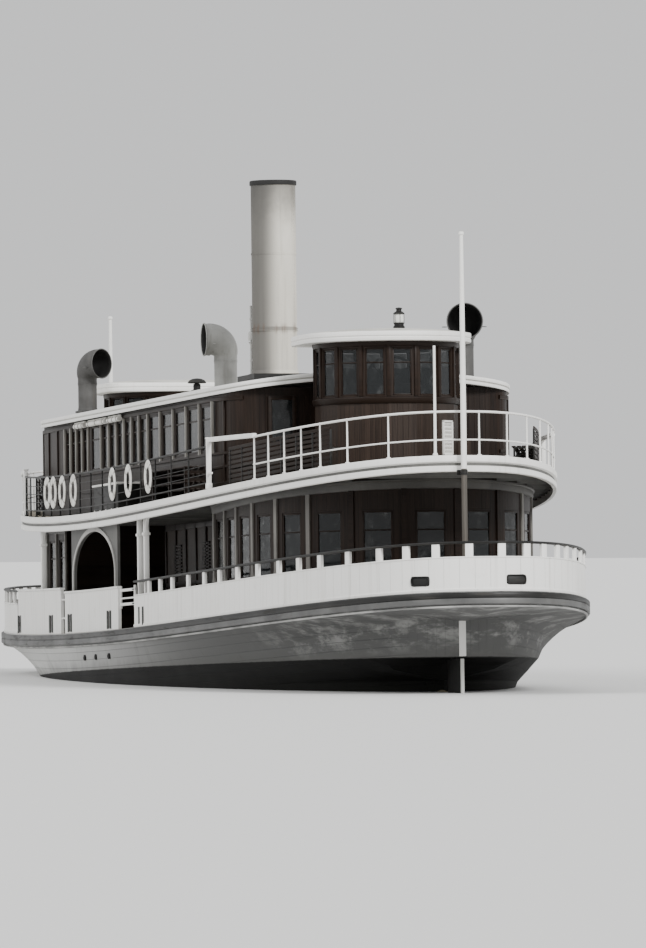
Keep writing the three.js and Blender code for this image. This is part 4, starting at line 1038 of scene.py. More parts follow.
for centre in [0.075] + [(a + b) / 2 for a, b in zip(centres, centres[1:])] + [nose_reach - 0.075]:
    x, y, heading = at_distance(nose_line, centre)
    stretch = (upper_top(x) - 0.36 - cabin["sill"]) / strip_height
    place = set_at(x, y, cabin["sill"] - 0.03, heading) @ Matrix.Diagonal((1.0, 1.0, stretch, 1.0))
    # painted shade: the pilasters round the nose, beyond grey_sides from each corner, are made dark instead
    # of grey
    strip_places[min(centre, nose_reach - centre) < grey_sides].append(place)
strips, dark_strips = (
    copies(flared_pilaster(0.055, 0.035, strip_height, 0.10, 0.17), strip_places[grey])
    for grey in (True, False)
)
cornice_profile = [
    (0.0, -0.4), (0.03, -0.39), (0.045, -0.33), (0.045, -0.26), (0.07, -0.24), (0.07, -0.212), (0.0, -0.212),
]
dark_strips.append(swept(
    nose_line, eased(0.05, 0.0, cabin["sill"] - 0.07, cabin["sill"] - 0.01, 0.012), level,
))
dark_strips.append(swept(nose_line, eased(0.03, 0.0, 0.001, 0.2, 0.01), main_top))
finish_ends(walls, "cabin_walls_{}", cabin_boards, "lower_cabin_{}")
finish_ends(strips, "cabin_pilasters_{}", pilaster_grey)
finish_ends(dark_strips, "cabin_dark_trim_{}", trim_timber)
sashes = copies(window_frame(cabin_window["half"], cabin_window["height"]), openings)
panes = copies(glass_pane(cabin_window["half"], cabin_window["height"]), openings)
finish_ends(sashes, "cabin_sashes_{}", trim_timber)
finish_ends(panes, "cabin_glass_{}", window_glass)
finish_ends(swept(nose_line, cornice_profile, upper_top), "cabin_cornice_{}", cornice_grey)

# Lower cabin doors: panelled teak leaves on two butt hinges each, with a brass lever and a small light.
# The same joinery serves the saloon and the wheelhouses.
brass_metal = Paint("old_brass", "bronze", Metallic=1.0)
tarnish = brass_metal.noise(14.0, 5.0)
brass_metal.surface(
    tarnish, 0.001, Base_Color=tarnish.ramp(0.35, 0.7).mix((0.46, 0.31, 0.12), (0.20, 0.14, 0.07)),
    Roughness=0.28 + tarnish * 0.35,
)


def hang_door(node, place, width, height, thick=0.045, off=0.006, rail=0.085):
    """A glazed leaf along +X from its hinge edge, its back at +Y `off`, in place of a CAD door."""
    far, lock, hand = off + thick, height * 0.42, height * 0.5
    inner, outer = rail - 0.004, width - rail + 0.004
    leaf = [
        block((0.0, off, 0.0), (rail, far, height), 0.005),
        block((width - rail, off, 0.0), (width, far, height), 0.005),
        block((inner, off + 0.014, 0.15), (outer, far - 0.014, lock + 0.01), 0.0),
        block((rail + 0.03, off + 0.006, 0.2), (width - rail - 0.03, far - 0.006, lock - 0.04), 0.012),
    ]
    for z, deep in ((0.0, 0.16), (lock, 0.11), (height - rail, rail)):
        leaf.append(block((inner, off, z), (outer, far, z + deep), 0.005))
    light = block((inner, off + 0.019, lock + 0.1), (outer, far - 0.019, height - rail + 0.004), 0.0)
    brass = [rod((width - 0.05, off - 0.03, hand), (width - 0.05, far + 0.03, hand), 0.011, 12)]
    for y in (off - 0.03, far + 0.02):
        brass.append(block((width - 0.14, y, hand - 0.01), (width - 0.04, y + 0.012, hand + 0.01), 0.005))
    for z in (height * 0.15, height * 0.75):
        brass.append(block((0.0, 0.0005, z), (0.04, off + 0.004, z + 0.09), 0.002))
        brass.append(upright(0.0, off * 0.5, z, z + 0.09, 0.0075, 12))
    finish(moved(join(leaf), place), f"{node}_leaf", trim_timber, node, node)
    finish(moved(light, place), f"{node}_pane", window_glass, None, node)
    finish(moved(join(brass), place), f"{node}_brass", brass_metal, None, node, 40.0)


place = set_at(cabin["end"] - 0.0003, -0.42, main_top(cabin["end"]) + 0.09, math.pi / 2)
for end, turn in end_turns.items():
    hang_door(f"lower_cabin_door_{end}", turn @ place, 0.84, 1.91)

# Cabin insides: a bench of slats round the walls on turned legs; the deck itself is the floor.
# They show only through the windows.
line = cut_line(nose_line, 0.8, nose_reach - 0.8, 40)
inboard = [(x - nx * 0.08, y - ny * 0.08, nx, ny) for x, y, nx, ny in line]
slat = 0.4 / 3
slats = [(-0.06 - slat * i, -0.06 - slat * (i + 1) + 0.018, 0.43, 0.46) for i in range(3)]
slats += [(-0.03, -0.055, z, z + 0.12) for z in (0.6, 0.77)]
seats = [swept(inboard, eased(*profile, 0.006), main_top) for profile in slats]
for x, y, nx, ny in inboard[2:-1:4]:
    x, y = x - nx * 0.3, y - ny * 0.3
    seats.append(upright(x, y, main_top(x) + 0.004, main_top(x) + 0.44, 0.022, 10))
finish_ends(seats, "cabin_seats_{}", trim_timber)

# Engine casing: boarded box amidships with corner posts, rails and shuttered vents, painted dark brown.
# It is built on the deck beams and carries the uptake.
casing_boards = timber_finish(
    "casing_boards", lambda teak: teak.x, 0.14, (0.014, 0.009, 0.006), (0.034, 0.021, 0.014),
)
low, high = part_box("engine_casing")
trims = []
for side, face in ((-1, low.y), (1, high.y)):
    near, far = face - side * 0.004, face + side * 0.03
    for foot, head in (
        (low.z + 0.002, low.z + 0.202), (low.z + 1.0, low.z + 1.09), (high.z - 0.19, high.z - 0.01),
    ):
        trims.append(block((low.x, near, foot), (high.x, far, head), 0.008))
    for x in spread(low.x + 0.06, high.x - 0.06, 8):
        proud = far + max(side, 0) * 0.006
        trims.append(block((x - 0.06, near, low.z + 0.004), (x + 0.06, proud, high.z - 0.01), 0.008))
    vent_face = min(near, far)
    for x in (-2.9, 0.0, 2.9):
        for z in spread(low.z + 1.25, low.z + 1.85, 8):
            trims.append(block((x - 0.36, vent_face, z), (x + 0.36, vent_face + 0.04, z + 0.05)))
for sign, face in ((-1, low.x), (1, high.x)):
    near, far = face - sign * 0.004, face + sign * 0.03
    for foot, head in (
        (low.z + 0.03, low.z + 0.21), (low.z + 1.0, low.z + 1.09), (high.z - 0.19, high.z - 0.01),
    ):
        trims.append(block((near, low.y, foot), (far, high.y, head), 0.008))
    for y in spread(low.y + 0.06, high.y - 0.06, 3):
        trims.append(block((near, y - 0.06, low.z + 0.03), (far, y + 0.06, high.z - 0.01), 0.008))
finish(trims, "casing_trim", trim_timber)

# Upper deck: a planked deck on beams, edged by two white mouldings with a quirk between them, painted dark
# grey as shade in the groove.
# The soffit and the beams are coloured a dull grey, which is painted shade under the deck.
rim_profile = [
    (-0.02, -0.331), (-0.008, -0.318), (-0.008, -0.232), (-0.02, -0.218), (-0.045, -0.21), (-0.045, -0.15),
    (-0.02, -0.144), (0.0, -0.128), (0.0, -0.022), (-0.014, -0.004), (-0.09, -0.002), (-0.09, -0.331),
]
quirk_profile = [(-0.046, -0.206), (-0.0435, -0.206), (-0.0435, -0.154), (-0.046, -0.154)]
fascia_paint = white_finish("fascia_paint", 0.3, 0.06)
quirk_shade_paint = grey_finish("quirk_shade_paint", "dark_paint", (0.05, 0.049, 0.045), (0.11, 0.108, 0.1))
soffit_shade_paint = grey_finish("soffit_shade_paint", "white_paint", (0.085, 0.084, 0.08), (0.15, 0.148, 0.14))
upper_planks = plank_finish("upper_planks", 0.095, (0.36, 0.32, 0.25), (0.22, 0.19, 0.145))
rim_line = around(upper, 280)
rim = swept(rim_line, rim_profile, upper_top, False)
finish(rim, "upper_deck_mouldings", fascia_paint, "upper_deck", smooth=40.0)
finish(swept(rim_line, quirk_profile, upper_top, False), "upper_deck_quirk", quirk_shade_paint, smooth=40.0)
finish(deck_sheet(upper, upper_top, 0.085, 0.1, -0.02), "upper_deck_soffit", soffit_shade_paint)
finish(deck_sheet(upper, upper_top, 0.088, 0.018, 0.003), "upper_deck_planks", upper_planks)
beams = []
for x in spread(-16.38, 16.38, 52):
    reach, z = edge_at(upper, x, 0.1), upper_top(x) - 0.12
    beams.append(block((x - 0.03, -reach, z - 0.085), (x + 0.03, reach, z + 0.004), 0.0))
finish(beams, "upper_deck_beams", soffit_shade_paint)

# Upper rails: round white rails on iron stanchions at each end, with a heavier rail at the landings.
# A tall pole stands in the rail just to starboard of the staff.
deck_rail = {"rise": 0.87, "mid": 0.31, "inset": 0.07, "from": 12.1}
tall_pole = {"aside": 0.52, "top": 6.48}
landing = {"from": 9.65, "height": 4.88, "half": 0.0475}
far_irons = (2.6, 3.48, 4.18, 4.87, 5.57, 6.24)
rail_posts = {"starboard": (1.51, *far_irons), "port": (0.38, 1.07, 1.8, *far_irons)}


def round_profile(radius, height, count=10, wide=1.0):
    return [(radius * wide * c, height + radius * s) for c, s in circle(count)[:-1]]


line = end_arc(upper, deck_rail["inset"], deck_rail["from"], 120)
run = reach_of(line)
rails = [
    swept(line, round_profile(0.024, deck_rail["rise"], 12, 1.15), upper_top),
    swept(line, round_profile(0.017, deck_rail["mid"]), upper_top),
]
for x, y, _ in from_stem(line, rail_posts) + [at_distance(line, 0.04), at_distance(line, run - 0.04)]:
    z = upper_top(x)
    rails.append(upright(x, y, z + 0.004, z + deck_rail["rise"], 0.021, 12, 0.017))
    rails.append(upright(x, y, z + 0.003, z + 0.022, 0.048, 14, 0.04))
    for rise in (deck_rail["mid"], deck_rail["rise"]):
        clear()
        bpy.ops.mesh.primitive_uv_sphere_add(
            segments=12, ring_count=8, radius=0.028, location=(x, y, z + rise)
        )
        rails.append(bpy.context.object)
x, y, _ = at_distance(line, run / 2 - tall_pole["aside"])
rails.append(upright(x, y, upper_top(x) + 0.004, tall_pole["top"], 0.03, 18, 0.024))
rails.append(upright(x, y, upper_top(x) + 0.003, upper_top(x) + 0.05, 0.055, 18, 0.045))
half, height = landing["half"], landing["height"]
for side, _ in ship_sides:
    edge = side_run(upper, deck_rail["inset"], landing["from"], deck_rail["from"] + 0.06, side, 12)
    rails.append(swept(edge, eased(half, -half, height - half, height + half, 0.014), level))
    x, y = landing["from"] + half, edge[0][1]
    z = upper_top(x) + 0.003
    rails.append(post(x, y, half, z, height + 0.01))
    rails.append(post(x, y, 0.062, height + 0.02, height + 0.05))
    rails.append(post(x, y, 0.062, z, z + 0.117))
    rails.append(block((x, y - 0.02, 4.17), (x + 0.3, y + 0.02, 4.21)))
finish_ends(rails, "end_rails_{}", fascia_paint, "upper_rail_{}", 40.0)

# Side rails: dark iron stanchions with a flat top rail, a foot rail and three thin rods between the landings.
# They are bolted through the margin plank of the upper deck.
iron_profiles = [eased(0.03, -0.03, 0.86, 0.9, 0.01), eased(0.02, -0.02, 0.125, 0.15, 0.006)]
iron_profiles += [round_profile(0.008, height, 8) for height in (0.32, 0.5, 0.68)]
for side, name in ship_sides:
    line = side_run(upper, deck_rail["inset"], -9.6, 9.6, side, 48)
    irons = [swept(line, profile, upper_top) for profile in iron_profiles]
    for x, y, _, _ in line[::3]:
        z = upper_top(x)
        irons.append(upright(x, y, z + 0.004, z + 0.87, 0.02, 10, 0.016))
        irons.append(upright(x, y, z + 0.003, z + 0.02, 0.045, 12))
    finish(irons, f"side_rails_{name}", dark_paint, f"side_rail_{name}", smooth=40.0)

# Lifebuoys: flat canvas rings stuffed with cork, painted white, with four broad canvas bands.
# They hang outside the side rails.
buoy = {"radius": 0.275, "thick": 0.08, "inset": 0.026, "rise": 0.53}
buoy_stations = (-5.09, -4.24, -3.07, -1.74, 2.39, 3.88, 5.57)
flattened = Matrix.Diagonal((1.0, 0.3, 1.0, 1.0))
canvas = Paint("buoy_canvas", "white_paint")
dirt = canvas.noise(5.0, 5.0)
canvas.surface(
    canvas.noise(120.0, 2.0), 0.002, Roughness=0.7 + dirt * 0.15,
    Base_Color=dirt.ramp(0.45, 0.75).mix((0.74, 0.73, 0.69), (0.42, 0.40, 0.36)),
)
band_canvas = grey_finish("band_canvas", "white_paint", (0.30, 0.29, 0.27), (0.45, 0.44, 0.41))
for side, name in ship_sides:
    places = [
        set_at(x, side * edge_at(upper, x, buoy["inset"]), upper_top(x) + buoy["rise"])
        for x in buoy_stations
    ]
    ring = moved(torus(buoy["radius"], buoy["thick"], 48, 16, rotation=(math.pi / 2, 0.0, 0.0)), flattened)
    wound = Matrix.Translation((buoy["radius"], 0.0, 0.0)) @ Matrix.Diagonal((1.0, 1.0, 6.0, 1.0))
    turns = [flattened @ Matrix.Rotation(math.pi / 4 + math.pi / 2 * i, 4, "Y") @ wound for i in range(4)]
    bands = join(copies(torus(buoy["thick"] + 0.0005, 0.0045, 20, 6), turns))
    finish(copies(ring, places), f"lifebuoys_{name}", canvas, smooth=60.0)
    finish(copies(bands, places), f"lifebuoy_bands_{name}", band_canvas, smooth=60.0)

# Saloon: varnished boarding with a band of tall sashes along each side, light mullions between them.
# The walls are nailed to a sill on the upper deck and carry the roof beams.
saloon = {"half": 10.1, "beam": 3.13, "round": 14.0, "shift": -0.7, "sill": 4.7, "head": 5.68}
saloon_windows = (
    # first centre, pitch, count, width
    (-6.87, 0.64, 4, 0.48),
    (-3.86, 0.0, 1, 0.9),
    (-2.78, 0.81, 5, 0.6),
    (1.28, 0.0, 1, 0.72),
    (2.37, 1.31, 5, 1.0),
)
mullions = (
    -7.21, -6.55, -5.91, -5.27, -4.61, -3.2, -2.375, -1.565, -0.755,
    0.055, 0.84, 1.755, 3.025, 4.335, 5.645, 6.955, 8.21,
)
wall_posts = (-10.2, -9.1, -8.05, 8.8)
trim_bands = (
    # how far out, low, high, above what
    (0.04, saloon["sill"] - 0.09, saloon["sill"] - 0.03, level),
    (0.04, saloon["head"] + 0.04, saloon["head"] + 0.12, level),
    (0.03, 0.003, 0.22, upper_top),
    (0.03, 0.5, 0.56, upper_top),
)
seat_slats = [(-0.02 - 0.11 * i, -0.11 - 0.11 * i, 0.42, 0.45) for i in range(4)]
seat_slats += [(0.0, -0.03, z, z + 0.1) for z in (0.56, 0.7)]


def saloon_edge(x, side):
    return side * edge_at(saloon, x - saloon["shift"])


def dress(node, paint):
    for slot in bpy.data.objects[node].material_slots:
        slot.material = paint.material


saloon_boards = timber_finish("saloon_boards", lambda teak: (teak.y.size() > 3.0).blend(teak.y, teak.x), 0.12)
dress("engine_casing", casing_boards)
dress("uptake_casing", casing_boards)
height = saloon["head"] - saloon["sill"]
for side, name in ship_sides:
    dress(f"upper_cabin_{name}", saloon_boards)
    wall, heading = side * saloon["beam"], 0.0 if side < 0 else math.pi
    frames, panes, seats = [], [], []
    for first, pitch, count, width in saloon_windows:
        places = [
            set_at(first + pitch * i, wall - side * 0.032, saloon["sill"], heading)
            for i in range(count)
        ]
        frames += copies(window_frame(width / 2, height), places)
        panes += copies(glass_pane(width / 2, height), places)
    places = [set_at(x, wall, saloon["sill"] - 0.05, heading) for x in mullions]
    strips = copies(flared_pilaster(0.045, 0.035, height + 0.1, 0.03, 0.12), places)
    foot = outward([(x, saloon_edge(x, side)) for x in spread(-10.7, 9.3, 90)], side)
    trims = [swept(foot, eased(out, -0.004, low, high, 0.01), top) for out, low, high, top in trim_bands]
    for x in wall_posts:
        at = saloon_edge(x, side)
        trims.append(block((x - 0.05, at - side * 0.004, 4.05), (x + 0.05, at + side * 0.03, 5.73), 0.01))
    for start, stop in ((-8.6, -1.6), (2.0, 8.2)):
        inside = [(x, side * (saloon["beam"] - 0.1), 0.0, side) for x in spread(start, stop, 8)]
        seats += [swept(inside, eased(*slat), upper_top) for slat in seat_slats]
        for x, y, _, _ in inside:
            seats.append(post(x, y - side * 0.4, 0.02, upper_top(x) + 0.004, upper_top(x) + 0.42, 0.005))
    finish(frames, f"saloon_sashes_{name}", trim_timber)
    finish(panes, f"saloon_glass_{name}", window_glass)
    finish(strips, f"saloon_mullions_{name}", joinery_grey)
    finish(trims, f"saloon_trim_{name}", trim_timber)
    finish(seats, f"saloon_seats_{name}", trim_timber)

# Rolled canvas blinds hang under the eaves along the starboard windows, tied up with tapes.
# Each is a roll on a wooden batten.
rope = Paint("tarred_rope", "dark_paint")
lay = rope.seam(rope.x + rope.y + rope.z, 0.012, 0.03)
rope.surface(1.0 - lay, 0.003, Base_Color=lay.mix((0.10, 0.08, 0.055), (0.03, 0.024, 0.017)), Roughness=0.85)
blind_y, blind_z = -3.235, 5.72
rolls, tapes = [], []
for start, stop in ((-5.55, -4.5), (-4.1, -2.25), (-1.9, -0.75)):
    rolls.append(rod((start, blind_y, blind_z), (stop, blind_y, blind_z), 0.058, 20))
    rolls.append(block((start - 0.03, -3.25, 5.772), (stop + 0.03, -3.2, 5.81), 0.008))
    for x in spread(start + 0.15, stop - 0.15, 2):
        tapes.append(rod((x - 0.02, blind_y, blind_z), (x + 0.02, blind_y, blind_z), 0.062, 20))
finish(rolls, "rolled_blinds", canvas, smooth=40.0)
finish(tapes, "blind_tapes", rope, smooth=40.0)

# Saloon doors at the ends: the same teak joinery in a narrow case.
# Each is hung at the starboard side of its opening.
for end, turn in end_turns.items():
    node = f"upper_cabin_door_{end}"
    low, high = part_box(node)
    face = min(abs(low.x), abs(high.x))
    hang_door(node, turn @ set_at(face, -1.63, low.z, -math.pi / 2), 0.6, high.z - low.z)

# Saloon roof: crowned deal boards under painted canvas, with a double moulding round the eaves.
# It is let in round the two wheelhouses and the funnel coaming.
roof = {"half": 10.45, "beam": 3.35, "round": 7.5, "shift": -0.7, "under": 5.82, "camber": 0.3, "depth": 0.17}
tower = {"x": 10.64, "radius": 1.47, "sides": 16, "floor": 4.86, "top": 6.8, "sill": 5.69, "head": 6.67}


def roof_under(y):
    return roof["under"] + roof["camber"] * (1.0 - (y / roof["beam"]) ** 2)


def eaves(profile):
    """A moulding along each side of the roof edge, between the two wheelhouses."""
    pieces = []
    for side, _ in ship_sides:
        run = [(x + roof["shift"], y, nx, ny) for x, y, nx, ny in around(roof, 400)[:-1] if y * side > 0.0]
        run = [
            spot for spot in run
            if math.hypot(abs(spot[0]) - tower["x"], spot[1]) > tower["radius"] + 0.01
        ]
        run.sort(key=lambda spot: math.atan2(spot[1], spot[0] * 0.3) * side)
        pieces.append(skin([
            [(x + nx * out, y + ny * out, roof_under(y) + rise) for out, rise in profile + profile[:1]]
            for x, y, nx, ny in run
        ]))
    return pieces


cloth = Paint("roof_canvas", "roof_canvas")
lap = cloth.seam(cloth.x + 0.3, 0.02, 0.92)
soot = cloth.noise(0.9, 5.0)
weathered = soot.ramp(0.35, 0.75).mix((0.56, 0.55, 0.51), (0.36, 0.35, 0.32))
cloth.surface(
    lap + cloth.noise(90.0, 2.0) * 0.1, 0.004, Base_Color=weathered.under((lap, 0.5, (0.18, 0.175, 0.16))),
    Roughness=0.75 + soot * 0.15,
)
rows = []
for x in mirrored(along(0.0, roof["half"] - 0.004, 44, 3.2)):
    edge, at = edge_at(roof, x, 0.012), x + roof["shift"]
    top = [(at, y, roof_under(y) + roof["depth"]) for y in spread(-edge, edge, 20)]
    rows.append(top + [(at, y, roof_under(y) + 0.002) for y in spread(edge, -edge, 20)] + top[:1])
shell = skin(rows)
for x in (tower["x"], -tower["x"]):
    clear()
    bpy.ops.mesh.primitive_cylinder_add(vertices=tower["sides"], radius=1.4725, depth=2.5)
    cut(shell, moved(bpy.context.object, set_at(x, 0.0, 6.25, math.pi / tower["sides"])))
cut(shell, block((-0.763, -0.613, 5.5), (0.913, 0.613, 7.0), 0.0))
finish(shell, "saloon_roof", cloth, "upper_cabin_roof", smooth=35.0)
upper_bead = [
    (-0.012, 0.092), (0.008, 0.096), (0.012, 0.11), (0.012, 0.15), (0.004, 0.168), (-0.03, 0.175),
    (-0.012, 0.12),
]
lower_bead = [(-0.012, 0.0), (0.0, 0.002), (0.004, 0.014), (0.004, 0.052), (-0.002, 0.064), (-0.012, 0.066)]
finish(eaves(upper_bead) + eaves(lower_bead), "eaves_mouldings", fascia_paint, smooth=40.0)

# Wheelhouses: sixteen-sided towers, boarded below a heavy sill and glazed above it.
# Slim posts stand at the corners; a white-edged canvas roof, squared off aft, laps over all.
wheelhouses = {
    # window that the door replaces, windows with a short sash, their sill, how much lower the house stands
    "fore": {"axis": tower["x"], "door": 4, "short": range(5, 12), "short_sill": 6.33, "drop": 0.0},
    "aft": {"axis": -tower["x"], "door": 2, "short": range(3, 14), "short_sill": 6.45, "drop": 0.15},
}
window_step = 2.0 * math.pi / tower["sides"]
flat_reach = tower["radius"] * math.cos(math.pi / tower["sides"])
corner_reach, post_foot = 1.472, 5.56
sill_profile = [(-0.002, 5.53), (0.03, 5.54), (0.05, 5.58), (0.055, 5.64), (0.045, 5.66), (-0.002, 5.675)]
head_profile = [(-0.002, 6.69), (0.03, 6.7), (0.045, 6.74), (0.045, 6.797), (-0.002, 6.797)]
foot_profile = [(-0.002, 0.004), (0.03, 0.004), (0.03, 0.2), (0.015, 0.22), (-0.002, 0.22)]
brim_profile = [
    (1.3, 6.802), (1.735, 6.802), (1.75, 6.81), (1.755, 6.83), (1.755, 6.87), (1.738, 6.885), (1.738, 6.895),
    (1.755, 6.91), (1.755, 6.985), (1.745, 6.998), (1.70, 7.002), (1.3, 7.002), (1.3, 6.802),
]
dome_profile = [
    (0.0, 6.9), (1.72, 6.9), (1.72, 7.001), (1.66, 7.012), (1.4, 7.045), (1.0, 7.08),
    (0.5, 7.108), (0.16, 7.118),
    (0.0, 7.119),
]


def lathe(profile, x=0.0, y=0.0, count=64, square=0.0):
    """A turned shape of radii and heights about an upright axis; square flattens its aft half."""
    rows = []
    for c, s in circle(count):
        if square and c < 0.0:
            c, s = -0.88 * (-c) ** (2.0 / square), math.copysign(abs(s) ** (2.0 / square), s)
        rows.append([(x + radius * c, y + radius * s, z) for radius, z in profile])
    return skin(rows, False)


def round_tower(reach, angle, z, heading):
    """A place about the axis of the fore wheelhouse."""
    return set_at(tower["x"] + reach * math.cos(angle), reach * math.sin(angle), z, heading)


def round_girth(teak):
    return teak.math("ARCTAN2", teak.y, teak.x - facts["axis"]) * tower["radius"]


roof_edge_paint = white_finish("roof_edge_paint", 0.2, 0.1)
turns = spread(0.5 * window_step, (tower["sides"] + 0.5) * window_step, tower["sides"])
corners = [
    (tower["x"] + tower["radius"] * math.cos(turn), tower["radius"] * math.sin(turn))
    for turn in turns
]
tower_line = directed(corners, True)
for end, facts in wheelhouses.items():
    settle = Matrix.Translation((0.0, 0.0, -facts["drop"])) @ end_turns[end]
    dress(f"wheelhouse_{end}", timber_finish(
        f"wheelhouse_boards_{end}", round_girth, 0.115, (0.014, 0.0095, 0.0075), (0.034, 0.023, 0.0175),
    ))
    frames, panes, corners = [], [], []
    for i in range(tower["sides"]):
        angle = window_step * i
        corner = angle + window_step / 2
        corners.append(round_tower(corner_reach, corner, post_foot, corner))
        if i == facts["door"]:
            continue
        low = facts["short_sill"] if i in facts["short"] else tower["sill"]
        height = tower["head"] - low
        place = round_tower(flat_reach - 0.03, angle, low, angle + math.pi / 2)
        if height > 0.5:
            sash = window_frame(0.205, height, 0.035, 0.0225)
        else:
            sash = block((-0.2, -0.012, 0.0), (0.2, 0.012, 0.03), 0.004)
        frames.append(moved(sash, place))
        panes.append(moved(glass_pane(0.205, height, 0.015), place))
    trims = copies(block((-0.035, -0.042, 0.0), (0.03, 0.042, tower["top"] - post_foot), 0.01), corners)
    trims += [swept(tower_line, profile, level, False) for profile in (sill_profile, head_profile)]
    trims.append(swept(tower_line, foot_profile, lambda x: upper_top(x) + facts["drop"], False))
    brim, dome = (lathe(profile, tower["x"], 0.0, 96, 8.0) for profile in (brim_profile, dome_profile))
    finish(frames, f"wheelhouse_sashes_{end}", trim_timber, place=settle)
    finish(panes, f"wheelhouse_glass_{end}", window_glass, place=settle)
    finish(trims, f"wheelhouse_trim_{end}", trim_timber, place=settle)
    finish(brim, f"wheelhouse_eaves_{end}", roof_edge_paint, smooth=40.0, place=settle)
    finish(dome, f"wheelhouse_canvas_{end}", cloth, f"wheelhouse_roof_{end}", place=settle)
    flat = window_step * facts["door"]
    hinge = Matrix.Translation((-0.265, 0.0003, tower["floor"] - 0.02))
    place = settle @ round_tower(flat_reach, flat, 0.0, flat - math.pi / 2) @ hinge
    hang_door(f"wheelhouse_door_{end}", place, 0.53, 1.82, 0.04)

# Louvred shutter on the fore wheelhouse: a white frame with slats, screwed to the port bow of the wainscot.
# It airs the space under the wheelhouse floor.
shutter = [block((x0, -0.012, z0), (x1, 0.035, z1)) for x0, x1, z0, z1 in (
    (-0.19, -0.15, 0.0, 0.72),
    (0.15, 0.19, 0.0, 0.72),
    (-0.19, 0.19, 0.0, 0.04),
    (-0.19, 0.19, 0.68, 0.72),
)]
shutter.append(block((-0.16, -0.01, 0.02), (0.16, 0.004, 0.7), 0.0))
tilt = Matrix.Rotation(math.radians(-32), 4, "X")
louvres = [set_at(0.0, 0.016, 0.085 + 0.078 * i) @ tilt for i in range(8)]
shutter += copies(block((-0.155, -0.005, -0.03), (0.155, 0.005, 0.03), 0.003), louvres)
place = round_tower(flat_reach + 0.006, math.pi / 4, 4.47, -math.pi / 4)
finish(shutter, "wheelhouse_shutter", white_paint, place=place)

# Lantern on the fore wheelhouse roof: a copper masthead lamp with a clear lens, a chimney and a wire guard.
# It stands on a turned foot screwed through the canvas.
lantern_place = Matrix.Translation((11.2, 0.15, 7.1))
base_profile = [
    (0.0, 0.0), (0.12, 0.0), (0.12, 0.035), (0.1, 0.05), (0.1, 0.09), (0.115, 0.1),
    (0.115, 0.115), (0.0, 0.115),
]
cap_profile = [
    (0.0, 0.29), (0.118, 0.29), (0.118, 0.305), (0.085, 0.335), (0.055, 0.35), (0.055, 0.39), (0.075, 0.395),
    (0.06, 0.42), (0.0, 0.43),
]
lens_profile = [
    (0.0, 0.112), (0.09, 0.112), (0.1, 0.15), (0.103, 0.2), (0.1, 0.25), (0.09, 0.293), (0.0, 0.293),
]
frosted = Paint("lantern_glass", "white_paint", Roughness=0.25)
frosted.surface(None, 0.0, Base_Color=frosted.noise(9.0).mix((0.62, 0.62, 0.58), (0.75, 0.75, 0.72)))
lamp_parts = [lathe(profile, count=32) for profile in (base_profile, cap_profile)]
lamp_parts += [upright(0.112 * c, 0.112 * s, 0.1, 0.3, 0.0045, 8) for c, s in circle(6)[:-1]]
finish(lamp_parts, "lantern", dark_paint, smooth=40.0, place=lantern_place)
finish(lathe(lens_profile, count=32), "lantern_lens", frosted, smooth=40.0, place=lantern_place)

# Steering wheels: teak rims and spokes with turned handles round a brass hub.
# Each turns on its pedestal and rides with its own body.
upended = Matrix.Rotation(math.pi / 2, 4, "Y")
crosswise = (0.0, math.pi / 2, 0.0)
spoke_profile = [
    (0.0, 0.05), (0.02, 0.05), (0.021, 0.1), (0.014, 0.14), (0.019, 0.2), (0.021, 0.3), (0.014, 0.4),
    (0.018, 0.46), (0.02, 0.54), (0.02, 0.585), (0.012, 0.6), (0.018, 0.63), (0.02, 0.67), (0.014, 0.7),
    (0.0, 0.708),
]
hub_profile = [
    (0.0, -0.05), (0.06, -0.05), (0.08, -0.03), (0.08, 0.03), (0.06, 0.05), (0.03, 0.052), (0.0, 0.058),
]
for end, turn in end_turns.items():
    node = f"steering_wheel_{end}"
    low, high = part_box(node)
    place = turn @ Matrix.Translation((11.1097, 0.0, (low.z + high.z) / 2))
    timbers = copies(
        lathe(spoke_profile, count=14), [Matrix.Rotation(math.pi / 4 * i, 4, "X") for i in range(8)]
    )
    timbers.append(torus(0.56, 0.026, 72, 12, rotation=crosswise))
    metal = [torus(radius, 0.005, 72, 6, (0.024, 0.0, 0.0), crosswise) for radius in (0.535, 0.585)]
    metal.append(moved(lathe(hub_profile, count=32), upended))
    finish(timbers, f"helm_timber_{end}", trim_timber, node, node, 40.0, place)
    finish(metal, f"helm_brass_{end}", brass_metal, None, node, 40.0, place)

# Funnel: two rings of riveted plate, buff-grey paint, black at the rim and sooty inside.
# It stands in a flared foot ring on the dark coaming, which is bolted to the uptake casing.
funnel = {"x": 0.26, "radius": 0.485, "top": 10.81, "seam": 7.6, "hoop": 9.23}
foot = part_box("funnel_coaming")[1].z + 0.0015
radius, top, seam, hoop = funnel["radius"], funnel["top"], funnel["seam"], funnel["hoop"]
plating_steps = [
    # distance outside the radius, height
    (-0.016, foot), (0.012, foot), (0.012, foot + 0.03), (0.0, foot + 0.16), (0.0, seam - 0.055),
    (0.009, seam - 0.055), (0.009, seam + 0.03), (-0.001, seam + 0.03), (-0.001, hoop - 0.03),
    (0.004, hoop - 0.03), (0.004, hoop + 0.03), (-0.001, hoop + 0.03), (-0.001, top - 0.105),
    (0.02, top - 0.1), (0.025, top - 0.088), (0.025, top - 0.02), (0.012, top), (-0.012, top),
    (-0.016, top - 0.02), (-0.016, foot),
]
collar_steps = [
    (0.013, foot), (0.09, foot), (0.09, foot + 0.012), (0.03, foot + 0.02), (0.013, foot + 0.09),
    (0.013, foot),
]
rivet_rows = (
    # height, count, distance outside the radius
    (foot + 0.035, 40, 0.011),
    (seam - 0.035, 56, 0.009),
    (seam + 0.012, 56, 0.009),
    (hoop, 48, 0.004),
)
plating = lathe([(radius + out, z) for out, z in plating_steps], funnel["x"], 0.0, 128)
